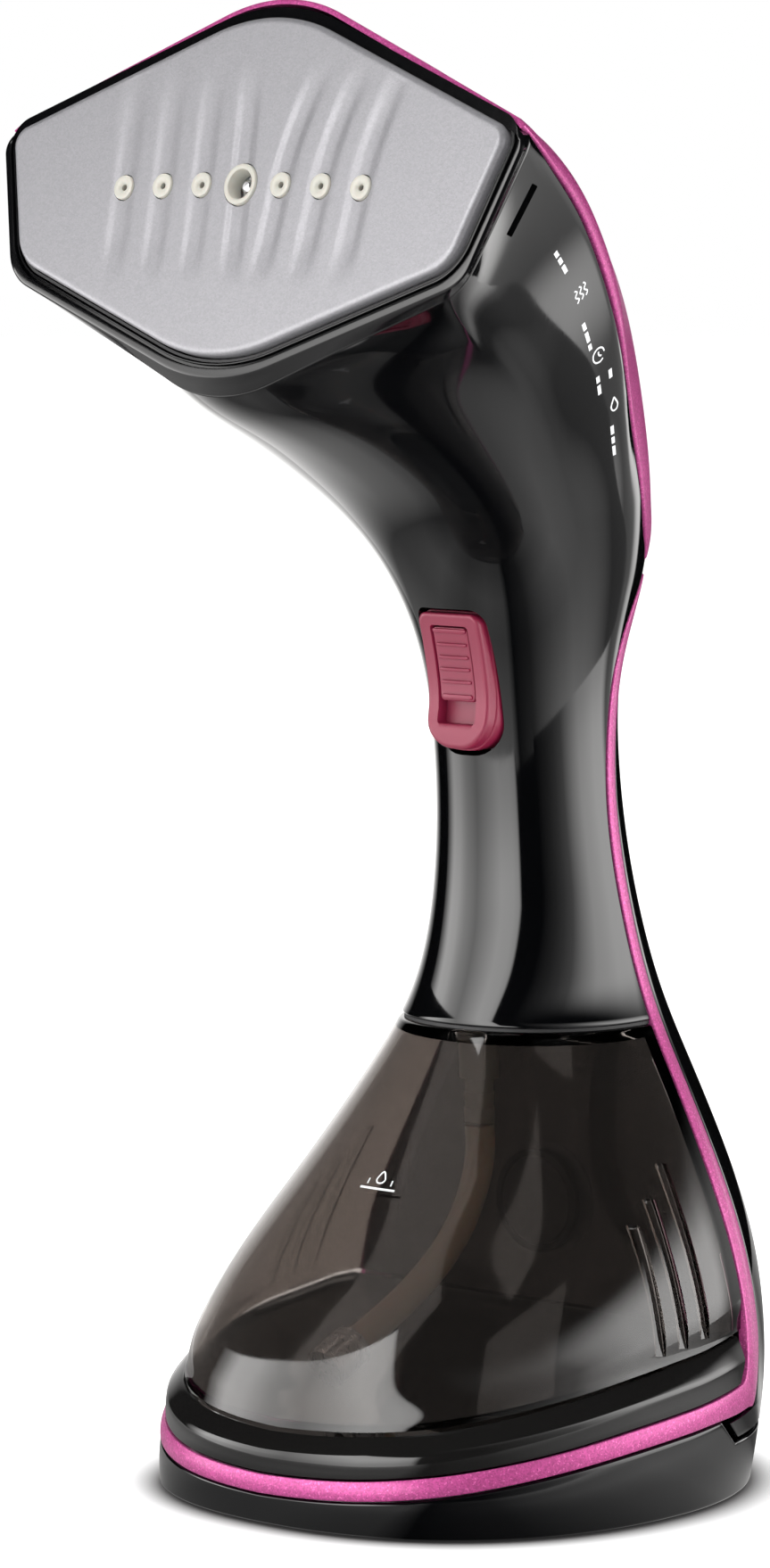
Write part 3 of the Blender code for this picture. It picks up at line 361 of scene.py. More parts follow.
def rolled(outer: Points, inner: Points, radius: float, wrap: bool = False, steps: int = 3) -> Shape:
    """Moulded wall between two grids, its outer rims rolled over to a small radius.

    Args:
        outer: grid of points on the show side.
        inner: grid of the same size on the hidden side.
        radius: of the rolled rim.
        wrap: whether the columns run all the way round.
        steps: facets of the rolled rim.

    Returns:
        A closed shape.
    """
    rows, columns = outer.shape[:2]
    along = np.gradient(outer, axis=0)
    across = (np.roll(outer, -1, 1) - np.roll(outer, 1, 1)) if wrap else np.gradient(outer, axis=1)
    normal = unit(np.cross(across, along))
    if ((outer - inner) * normal).sum() < 0:
        normal = -normal
    inward = np.zeros_like(outer)
    inward[0] += unit(outer[1] - outer[0])
    inward[-1] += unit(outer[-2] - outer[-1])
    if wrap:
        loops = [[(0, c) for c in range(columns)], [(rows - 1, c) for c in range(columns)]]
    else:
        inward[:, 0] += unit(outer[:, 1] - outer[:, 0])
        inward[:, -1] += unit(outer[:, -2] - outer[:, -1])
        loops = [[(0, c) for c in range(columns)] + [(r, columns - 1) for r in range(1, rows)]
                 + [(rows - 1, c) for c in range(columns - 2, -1, -1)] + [(r, 0) for r in range(rows - 2, 0, -1)]]
    count = rows * columns
    points = [(outer + inward * radius).reshape(-1, 3), inner.reshape(-1, 3)]
    faces = grid_faces(rows, columns, 0, wrap) + grid_faces(rows, columns, count, wrap)
    start = 2 * count
    for loop in loops:
        r, c = np.array(loop).T
        before = [int(i) for i in r * columns + c]
        for k in range(1, steps + 1):
            turn = math.pi / 2 * k / steps
            points.append(outer[r, c] + inward[r, c] * radius * (1 - math.sin(turn))
                          - normal[r, c] * radius * (1 - math.cos(turn)))
            now = list(range(start, start + len(loop)))
            faces += bridge(before, now)
            before, start = now, start + len(loop)
        faces += bridge(before, [int(i) + count for i in r * columns + c])
    return Shape(np.concatenate(points), faces)


def lofted(rings: Any, closed: bool = False, rungs: bool = False) -> Shape:
    """Solid through rings of points.

    Args:
        rings: one row of points per ring.
        closed: whether the last ring joins the first, in place of end caps.
        rungs: whether the caps run straight across a default rounded_bar, to follow a bend in its height.

    Returns:
        A closed shape.
    """
    rings = np.asarray(rings, float)
    rows, columns = rings.shape[:2]
    faces = grid_faces(rows, columns, 0, True)
    cap = [list(range(columns))]
    if rungs:
        right, left = [(7 - k) % columns for k in range(24)], [18 + k for k in range(24)]
        cap = [list(range(7, 19)), list(range(41, 53))]
        cap += [[right[k + 1], right[k], left[k], left[k + 1]] for k in range(23)]
    if closed:
        faces += bridge(list(range((rows - 1) * columns, rows * columns)), list(range(columns)))
    else:
        faces += cap + [[(rows - 1) * columns + c for c in face][::-1] for face in cap]
    return Shape(rings.reshape(-1, 3), faces)


def lathed(base: Any, axis: Any, profile: Pairs, count: int = 48, closed: bool = False) -> Shape:
    """Solid of revolution.

    Args:
        base: point on the axis where distances along it start.
        axis: its direction.
        profile: (radius, distance along the axis) pairs.
        count: facets round it.
        closed: whether the profile is a closed outline that leaves a bore.

    Returns:
        A closed shape.
    """
    axis = unit(np.asarray(axis, float))
    side = unit(np.cross(axis, [1.0, 0.0, 0.0] if abs(axis[0]) < 0.8 else [0.0, 1.0, 0.0]))
    other = np.cross(axis, side)
    turn = np.arange(count)[:, None] * 2 * math.pi / count
    ring = np.cos(turn) * side + np.sin(turn) * other
    return lofted([np.asarray(base) + a * axis + r * ring for r, a in profile], closed)


def rounded_bar(half: float, top: float, foot: float, r_top: float, r_foot: float,
                arc: int = 9, edge: int = 8) -> Points:
    """Upright rounded rectangle as (x, z) points, anticlockwise, the same number for every size."""
    corners = []
    for cx, cz, r, start in ((half - r_top, top - r_top, r_top, 0), (-half + r_top, top - r_top, r_top, 90),
                             (-half + r_foot, foot + r_foot, r_foot, 180), (half - r_foot, foot + r_foot, r_foot, 270)):
        t = np.radians(np.linspace(start, start + 90, arc))
        corners.append(np.array([cx, cz]) + r * np.stack([np.cos(t), np.sin(t)], -1))
    out = []
    for k, corner in enumerate(corners):
        after = corners[(k + 1) % 4][0]
        out += [corner, corner[-1] + np.linspace(0, 1, edge + 2)[1:-1, None] * (after - corner[-1])]
    return np.concatenate(out)


def draw(name: str, shape: Shape) -> bpy.types.Object:
    """Object at the origin with the shape in its mesh, in metres, closed and facing out."""
    mesh = bpy.data.meshes.new(name)
    points = (shape.points + np.array([0.0, SHIFT_Y, 0.0])) * 0.001
    mesh.from_pydata([tuple(map(float, p)) for p in points], [], [list(map(int, f)) for f in shape.faces])
    work = bmesh.new()
    work.from_mesh(mesh)
    bmesh.ops.remove_doubles(work, verts=work.verts, dist=2e-7)
    bmesh.ops.recalc_face_normals(work, faces=work.faces)
    work.to_mesh(mesh)
    work.free()
    thing = bpy.data.objects.new(name, mesh)
    bpy.context.scene.collection.objects.link(thing)
    return thing


def settle(thing: bpy.types.Object) -> None:
    """Turns an object's modifiers into its plain mesh."""
    graph = bpy.context.evaluated_depsgraph_get()
    graph.update()
    made = bpy.data.meshes.new_from_object(thing.evaluated_get(graph))
    old, thing.data = thing.data, made
    thing.modifiers.clear()
    made.name = thing.name
    bpy.data.meshes.remove(old)


@dataclass
class Piece:
    """One finished piece: what it is made of, what carries it and what it stands for."""

    name: str
    body: Body
    finish: "Finish"
    stands_for: tuple[str, ...] = ()
    slot: Optional[str] = None
    sharp: float = 38.0

    def from_shape(self, shape: Shape, cuts: Optional[Shape] = None) -> bpy.types.Object:
        """Makes the piece from a shape, with other shapes cut out of it.

        Args:
            shape: its closed mesh.
            cuts: closed shapes to take away.

        Returns:
            The finished object.
        """
        thing = draw(self.name, shape)
        if cuts is not None:
            cutter = draw(self.name + "_cuts", cuts)
            change = thing.modifiers.new("cuts", "BOOLEAN")
            change.operation, change.solver, change.object = "DIFFERENCE", "EXACT", cutter
            settle(thing)
            bpy.data.objects.remove(cutter)
        return self.from_object(thing)

    def from_object(self, thing: bpy.types.Object) -> bpy.types.Object:
        """Dresses a plain mesh object and fixes it to its body."""
        thing.data.materials.clear()
        thing.data.materials.append(self.finish.material())
        thing.data.polygons.foreach_set("material_index", np.zeros(len(thing.data.polygons), np.int32))
        thing.data.shade_smooth()
        thing.data.set_sharp_from_angle(angle=math.radians(self.sharp))
        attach(thing, self.body.value)
        if self.stands_for:
            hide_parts(*self.stands_for)
        LOG.info("%s rides %s, %d faces", self.name, self.body.value, len(thing.data.polygons))
        return thing


def dress(finish: "Finish", *nodes: str) -> None:
    """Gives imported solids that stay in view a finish."""
    for name in nodes:
        thing = frame["nodes"][name]
        if not thing.data.materials:
            thing.data.materials.append(None)
        for i in range(len(thing.material_slots)):
            thing.material_slots[i].material = finish.material()
    LOG.info("dressed %s", ", ".join(nodes))


# ---------------------------------------------------------------- finishes


class Wire:
    """A shader socket that can stand in arithmetic."""

    def __init__(self, tree: "ShaderTree", socket: bpy.types.NodeSocket) -> None:
        """Wraps an output socket of a tree."""
        self.tree, self.socket = tree, socket

    def _math(self, operation: str, first: Any, second: Any) -> "Wire":
        """Adds one Math node and returns its result."""
        return self.tree.node("ShaderNodeMath", {"operation": operation}, {0: first, 1: second})

    def __add__(self, other: Any) -> "Wire":
        """Sum."""
        return self._math("ADD", self, other)

    def __mul__(self, other: Any) -> "Wire":
        """Product."""
        return self._math("MULTIPLY", self, other)

    def __gt__(self, other: Any) -> "Wire":
        """One where this is greater."""
        return self._math("GREATER_THAN", self, other)

    def __radd__(self, other: Any) -> "Wire":
        """Sum with a number first."""
        return self._math("ADD", other, self)

    def __rmul__(self, other: Any) -> "Wire":
        """Product with a number first."""
        return self._math("MULTIPLY", other, self)


class ShaderTree:
    """Node tree of one material, with one method that makes every node."""

    def __init__(self, tree: bpy.types.NodeTree) -> None:
        """Starts on an empty tree."""
        self.tree = tree
        tree.nodes.clear()

    def node(self, kind: str, settings: Optional[dict[str, Any]] = None, sockets: Optional[dict[Any, Any]] = None,
             out: Any = 0) -> Wire:
        """Adds a node.

        Args:
            kind: its type.
            settings: its properties, set first; a ramp's stops under "stops".
            sockets: values or Wires by socket name or number.
            out: which output to return.

        Returns:
            That output.
        """
        made = self.tree.nodes.new(kind)
        for key, value in (settings or {}).items():
            if key == "stops":
                for i, (place, shade) in enumerate(value):
                    stop = made.color_ramp.elements[i] if i < 2 else made.color_ramp.elements.new(place)
                    stop.position, stop.color = place, (*shade, 1) if len(shade) == 3 else shade
            else:
                setattr(made, key, value)
        for key, value in (sockets or {}).items():
            if isinstance(value, Wire):
                self.tree.links.new(value.socket, made.inputs[key])
            elif value is not None:
                made.inputs[key].default_value = value
        return Wire(self, made.outputs[out]) if len(made.outputs) else None

    def place(self, scale: Any = (1.0, 1.0, 1.0), turn: Any = (0.0, 0.0, 0.0)) -> Wire:
        """Object coordinates, scaled and turned."""
        raw = self.node("ShaderNodeTexCoord", out="Object")
        return self.node("ShaderNodeMapping", {}, {"Vector": raw, "Scale": scale, "Rotation": turn})

    def noise(self, scale: float, detail: float = 2.0, at: Optional[Wire] = None, rough: float = 0.5) -> Wire:
        """Soft noise from 0 to 1, its scale in features a metre."""
        return self.node("ShaderNodeTexNoise", {}, {"Vector": at or self.place(), "Scale": scale, "Detail": detail,
                                                    "Roughness": rough}, "Fac")

    def cells(self, scale: float, out: str = "Color", feature: str = "F1") -> Wire:
        """Random cells."""
        return self.node("ShaderNodeTexVoronoi", {"feature": feature}, {"Vector": self.place(), "Scale": scale}, out)

    def mix(self, share: Any, a: Any, b: Any) -> Wire:
        """Colour between two colours."""
        return self.node("ShaderNodeMix", {"data_type": "RGBA"}, {0: share, 6: a, 7: b}, 2)

    def span(self, value: Wire, low: float, high: float, to_low: float, to_high: float) -> Wire:
        """One range of numbers mapped onto another."""
        return self.node("ShaderNodeMapRange", {}, {0: value, 1: low, 2: high, 3: to_low, 4: to_high})

    def bump(self, height: Wire, strength: float, distance: float = 0.0002) -> Wire:
        """Surface relief from a height."""
        return self.node("ShaderNodeBump", {}, {"Height": height, "Strength": strength, "Distance": distance})


Colour = tuple[float, float, float]


def rgba(colour: Colour, share: float = 1.0) -> tuple[float, float, float, float]:
    """Colour scaled and given full opacity."""
    return (colour[0] * share, colour[1] * share, colour[2] * share, 1.0)


@dataclass(frozen=True)
class Finish:
    """A surface finish; each kind says what its shader's sockets get."""

    name: str
    colour: Colour
    rough: float = 0.4

    def sockets(self, tree: ShaderTree) -> dict[str, Any]:
        """Values and links of the Principled shader."""
        raise NotImplementedError

    def material(self) -> bpy.types.Material:
        """The material, made once."""
        if self.name in bpy.data.materials and bpy.data.materials[self.name].get("made_here"):
            return bpy.data.materials[self.name]
        material = bpy.data.materials.new(self.name)
        material["made_here"] = True
        material.use_nodes = True
        tree = ShaderTree(material.node_tree)
        shader = tree.node("ShaderNodeBsdfPrincipled", {}, self.sockets(tree))
        tree.node("ShaderNodeOutputMaterial", {}, {"Surface": shader})
        return material


@dataclass(frozen=True)
class GlossPlastic(Finish):
    """Polished moulding: faint flow mottling, the finest wiping haze in its gloss."""

    rough: float = 0.045
    haze: float = 0.05
    wave: float = 0.012

    def sockets(self, tree: ShaderTree) -> dict[str, Any]:
        """Base shade, haze and a trace of moulding waviness."""
        cloud = tree.noise(38, 3)
        wipe = tree.noise(900, 4, tree.place((1, 1, 0.12)))
        return {"Base Color": tree.mix(cloud, rgba(self.colour, 0.8), rgba(self.colour, 1.2)),
                "Roughness": self.rough + tree.span(wipe, 0.35, 0.75, 0, self.haze) * tree.noise(60, 1),
                "IOR": 1.5, "Normal": tree.bump(tree.noise(55, 1), self.wave, 0.0006)}


@dataclass(frozen=True)
class FlakePaint(Finish):
    """Metallic paint: fine flakes of uneven brightness under clear lacquer."""

    rough: float = 0.42
    metal: float = 0.45
    flake_scale: float = 3400.0

    def sockets(self, tree: ShaderTree) -> dict[str, Any]:
        """Flakes vary the colour, the relief and the gloss."""
        cell = tree.node("ShaderNodeSeparateColor", {}, {0: tree.cells(self.flake_scale)}, 0)
        fine = tree.node("ShaderNodeSeparateColor", {}, {0: tree.cells(self.flake_scale * 2.3)}, 1)
        body = tree.mix(cell, rgba(self.colour, 0.72), rgba(self.colour, 1.22))
        spark = (cell > 0.93) * 0.35
        pale = tuple(min(1.0, c * 1.5 + 0.12) for c in self.colour)
        return {"Base Color": tree.mix(spark, body, rgba(pale)), "Metallic": self.metal,
                "Roughness": tree.span(fine, 0, 1, self.rough - 0.08, self.rough + 0.1), "Coat Weight": 0.18,
                "Coat Roughness": 0.08, "Normal": tree.bump(cell + fine * 0.6, 0.22, 0.00006)}


@dataclass(frozen=True)
class SatinPlastic(Finish):
    """Spark-eroded moulding: a fine even grain and slight shade changes."""

    grain: float = 2600.0
    depth: float = 0.18
    soft: float = 0.0

    def sockets(self, tree: ShaderTree) -> dict[str, Any]:
        """Grain in relief and gloss, mottling in colour."""
        grain = tree.noise(self.grain, 3, rough=0.7)
        cloud = tree.noise(70, 2)
        return {"Base Color": tree.mix(cloud, rgba(self.colour, 0.9), rgba(self.colour, 1.1)),
                "Roughness": tree.span(grain, 0.3, 0.7, self.rough - 0.05, self.rough + 0.06),
                "Subsurface Weight": self.soft, "Subsurface Scale": 0.002,
                "Normal": tree.bump(grain, self.depth, 0.00005)}


@dataclass(frozen=True)
class SmokedPlastic(Finish):
    """Tinted clear moulding that light passes through."""

    rough: float = 0.03
    through: float = 1.0

    def sockets(self, tree: ShaderTree) -> dict[str, Any]:
        """Tint clouding and the faintest flow lines."""
        cloud = tree.noise(30, 2)
        return {"Base Color": tree.mix(cloud, rgba(self.colour, 0.92), rgba(self.colour, 1.06)),
                "Roughness": tree.span(tree.noise(600, 3), 0.3, 0.8, self.rough, self.rough + 0.03),
                "Transmission Weight": self.through, "IOR": 1.49,
                "Normal": tree.bump(tree.noise(45, 1), 0.01, 0.0006)}


@dataclass(frozen=True)
class SandedPlate(Finish):
    """Bead-blasted coated plate: sparkling sand-fine grain."""

    metal: float = 0.55

    def sockets(self, tree: ShaderTree) -> dict[str, Any]:
        """Grain at two sizes in colour, gloss and relief."""
        speck = tree.node("ShaderNodeSeparateColor", {}, {0: tree.cells(2900)}, 0)
        grain = tree.noise(2100, 4, rough=0.7)
        cloud = tree.noise(45, 2)
        shade = tree.mix(speck, rgba(self.colour, 0.9), rgba(self.colour, 1.08))
        return {"Base Color": tree.mix(cloud * 0.5, shade, rgba(self.colour, 1.04)), "Metallic": self.metal,
                "Roughness": tree.span(grain, 0.3, 0.7, self.rough - 0.06, self.rough + 0.08),
                "Normal": tree.bump(grain + speck * 0.5, 0.28, 0.00006)}


@dataclass(frozen=True)
class BareMetal(Finish):
    """Bare metal, turned or cast: streaks one way or coarse skin."""

    rough: float = 0.28
    streak: tuple[float, float, float] = (1.0, 1.0, 0.05)
    scale: float = 1600.0

    def sockets(self, tree: ShaderTree) -> dict[str, Any]:
        """Streaks in colour, gloss and relief."""
        line = tree.noise(self.scale, 4, tree.place(self.streak), 0.65)
        return {"Base Color": tree.mix(line, rgba(self.colour, 0.82), rgba(self.colour, 1.1)), "Metallic": 1.0,
                "Roughness": tree.span(line, 0.25, 0.75, self.rough - 0.07, self.rough + 0.12),
                "Normal": tree.bump(line, 0.2, 0.00005)}


@dataclass(frozen=True)
class MilkyTube(Finish):
    """Silicone tube: milky, slightly see-through, faint drawn lines."""

    def sockets(self, tree: ShaderTree) -> dict[str, Any]:
        """Drawn lines along the tube and cloudy depth."""
        cloud = tree.noise(160, 3)
        return {"Base Color": tree.mix(cloud, rgba(self.colour, 0.88), rgba(self.colour, 1.08)),
                "Roughness": tree.span(cloud, 0.3, 0.7, self.rough - 0.04, self.rough + 0.06),
                "Subsurface Weight": 0.35, "Subsurface Scale": 0.003, "IOR": 1.41,
                "Normal": tree.bump(tree.noise(1400, 2, tree.place((1, 1, 0.1))), 0.08, 0.00005)}


@dataclass(frozen=True)
class CircuitBoard(Finish):
    """Solder mask over copper tracks."""

    def sockets(self, tree: ShaderTree) -> dict[str, Any]:
        """Tracks as square cells of slightly lighter green."""
        cell = tree.node("ShaderNodeTexBrick", {}, {"Vector": tree.place((1, 1, 1), (math.pi / 2, 0, 0)), "Scale": 420,
                                                    "Mortar Size": 0.12}, "Fac")
        return {"Base Color": tree.mix(cell, rgba(self.colour), rgba(self.colour, 1.7)), "Roughness": 0.35,
                "Normal": tree.bump(cell, 0.3, 0.00005)}


BLACK = GlossPlastic("polished_black", (0.0012, 0.0013, 0.0016))
BEZEL_BLACK = GlossPlastic("bezel_black", (0.0022, 0.0022, 0.0026), 0.09)
MAGENTA = FlakePaint("magenta_flake", (0.42, 0.055, 0.22))
TRIGGER_RED = SatinPlastic("trigger_magenta", (0.20, 0.007, 0.036), 0.40, 2400.0, 0.10, 0.05)
SMOKED = SmokedPlastic("smoked_tank", (0.255, 0.226, 0.208))
SMOKED_BASE = GlossPlastic("smoked_tank_base", (0.006, 0.0058, 0.0056), 0.05)
PLATE = SandedPlate("sanded_silver", (0.238, 0.235, 0.248), 0.42)
IVORY = SatinPlastic("nozzle_ivory", (0.40, 0.39, 0.345), 0.42, 2200.0, 0.12, 0.1)
RUBBER = SatinPlastic("black_rubber", (0.013, 0.013, 0.014), 0.62, 1800.0, 0.3)
TUBE = MilkyTube("milky_silicone", (0.66, 0.56, 0.45), 0.3)
INNER = SatinPlastic("inner_black_plastic", (0.022, 0.022, 0.024), 0.45, 1500.0, 0.25)
CAST = BareMetal("cast_aluminium", (0.55, 0.56, 0.58), 0.5, (1.0, 1.0, 1.0), 900.0)
STEEL = BareMetal("turned_steel", (0.56, 0.56, 0.57))
BOARD = CircuitBoard("circuit_green", (0.012, 0.09, 0.03), 0.35)
INK = SatinPlastic("printed_white", (0.78, 0.79, 0.80), 0.5, 2400.0, 0.05)


# ---------------------------------------------------------------- copies and tubes by Geometry Nodes


class NodeRig:
    """A Geometry Nodes tree built in code, run once on an object and settled into plain mesh."""

    def __init__(self, name: str, numbers: dict[str, float]) -> None:
        """Starts a tree with a geometry socket, number inputs and a material input."""
        self.tree = bpy.data.node_groups.new(name, "GeometryNodeTree")
        self.ids: dict[str, str] = {}
        face = self.tree.interface
        face.new_socket("Geometry", in_out="INPUT", socket_type="NodeSocketGeometry")
        face.new_socket("Geometry", in_out="OUTPUT", socket_type="NodeSocketGeometry")
        for label, value in numbers.items():
            socket = face.new_socket(label, in_out="INPUT", socket_type="NodeSocketFloat")
            socket.default_value = value
            self.ids[label] = socket.identifier
        self.ids["Finish"] = face.new_socket("Finish", in_out="INPUT", socket_type="NodeSocketMaterial").identifier
        self.ids["Copy"] = face.new_socket("Copy", in_out="INPUT", socket_type="NodeSocketObject").identifier
        self.start = self.tree.nodes.new("NodeGroupInput")
        self.end = self.tree.nodes.new("NodeGroupOutput")

    def add(self, kind: str, settings: Optional[dict[str, Any]] = None,
            sockets: Optional[dict[Any, Any]] = None) -> bpy.types.Node:
        """Adds a node with settings, then values or linked output sockets."""
        node = self.tree.nodes.new(kind)
        for key, value in (settings or {}).items():
            setattr(node, key, value)
        for key, value in (sockets or {}).items():
            if isinstance(value, bpy.types.NodeSocket):
                self.tree.links.new(value, node.inputs[key])
            else:
                node.inputs[key].default_value = value
        return node

    def close(self, last: bpy.types.NodeSocket) -> None:
        """Realises, dresses and outputs the geometry."""
        real = self.add("GeometryNodeRealizeInstances", {}, {"Geometry": last})
        dressed = self.add("GeometryNodeSetMaterial", {}, {"Geometry": real.outputs[0],
                                                           "Material": self.start.outputs["Finish"]})
        self.tree.links.new(dressed.outputs[0], self.end.inputs[0])

    def run(self, host: bpy.types.Object, finish: Finish, values: dict[str, float],
            copy: Optional[bpy.types.Object] = None) -> bpy.types.Object:
        """Runs the tree on a host object.

        Args:
            host: object whose mesh feeds the tree.
            finish: its material input.
            values: number inputs by label.
            copy: object input.

        Returns:
            The host, now a plain mesh.
        """
        change = host.modifiers.new("rig", "NODES")
        change.node_group = self.tree
        for label, value in values.items():
            change[self.ids[label]] = value
        change[self.ids["Finish"]] = finish.material()
        if copy is not None:
            change[self.ids["Copy"]] = copy
        settle(host)
        if copy is not None:
            bpy.data.objects.remove(copy)
        return host


def copier() -> NodeRig:
    """Tree that sets a copy of an object on every point, turned and sized by the points' own attributes."""
    rig = NodeRig("set_copies", {"Size": 1.0})
    shape = rig.add("GeometryNodeObjectInfo", {}, {"Object": rig.start.outputs["Copy"]})
    turn = rig.add("GeometryNodeInputNamedAttribute", {"data_type": "FLOAT_VECTOR"}, {"Name": "turn"})
    grow = rig.add("GeometryNodeInputNamedAttribute", {"data_type": "FLOAT_VECTOR"}, {"Name": "grow"})
    sized = rig.add("ShaderNodeVectorMath", {"operation": "SCALE"}, {0: grow.outputs[0],
                                                                      "Scale": rig.start.outputs["Size"]})
    copies = rig.add("GeometryNodeInstanceOnPoints", {}, {
        "Points": rig.start.outputs["Geometry"], "Instance": shape.outputs["Geometry"],
        "Rotation": turn.outputs[0], "Scale": sized.outputs[0]})
    rig.close(copies.outputs[0])
    return rig


def piper() -> NodeRig:
    """Tree that sweeps a round section along a path of edges."""
    rig = NodeRig("sweep_tube", {"Radius": 0.001, "Step": 0.0006})
    line = rig.add("GeometryNodeMeshToCurve", {}, {"Mesh": rig.start.outputs["Geometry"]})
    even = rig.add("GeometryNodeResampleCurve", {"mode": "LENGTH"}, {"Curve": line.outputs[0],
                                                                     "Length": rig.start.outputs["Step"]})
    ring = rig.add("GeometryNodeCurvePrimitiveCircle", {}, {"Resolution": 24, "Radius": rig.start.outputs["Radius"]})
    tube = rig.add("GeometryNodeCurveToMesh", {}, {"Curve": even.outputs[0], "Profile Curve": ring.outputs["Curve"],
                                                   "Fill Caps": True})
    rig.close(tube.outputs[0])
    return rig


COPIER, PIPER = copier(), piper()


def spread(piece: Piece, shape: Shape, places: Any, turns: Any = (0.0, 0.0, 0.0), sizes: Any = (1.0, 1.0, 1.0)
           ) -> bpy.types.Object:
    """Copies of a small shape as one piece.

    Args:
        piece: what it becomes.
        shape: one copy, round the drawing's origin.
        places: where each copy goes.
        turns: each copy's turn, in radians about x, y and z.
        sizes: each copy's scale.

    Returns:
        The finished object.
    """
    places = np.atleast_2d(np.asarray(places, float))
    copy = draw(piece.name + "_copy", Shape(shape.points - np.array([0, SHIFT_Y, 0]), shape.faces))
    mesh = bpy.data.meshes.new(piece.name)
    mesh.from_pydata([tuple((p + np.array([0, SHIFT_Y, 0])) * 0.001) for p in places], [], [])
    for label, rows in (("turn", turns), ("grow", sizes)):
        rows = np.broadcast_to(np.asarray(rows, float), places.shape).astype(np.float32)
        mesh.attributes.new(label, "FLOAT_VECTOR", "POINT").data.foreach_set("vector", rows.ravel())
    host = bpy.data.objects.new(piece.name, mesh)
    bpy.context.scene.collection.objects.link(host)
    return piece.from_object(COPIER.run(host, piece.finish, {"Size": 1.0}, copy))


def tube(piece: Piece, path: Any, radius: float, step: float = 0.8) -> bpy.types.Object:
    """Round tube along a smooth path through points, in millimetres."""
    path = np.asarray(path, float)
    at = spline(np.arange(len(path)), path, np.linspace(0, len(path) - 1, 12 * len(path)))
    mesh = bpy.data.meshes.new(piece.name)
    mesh.from_pydata([tuple((p + np.array([0, SHIFT_Y, 0])) * 0.001) for p in at],
                     [(i, i + 1) for i in range(len(at) - 1)], [])
    host = bpy.data.objects.new(piece.name, mesh)
    bpy.context.scene.collection.objects.link(host)
    return piece.from_object(PIPER.run(host, piece.finish, {"Radius": radius * 0.001, "Step": step * 0.001}))


# ---------------------------------------------------------------- handle and head shells


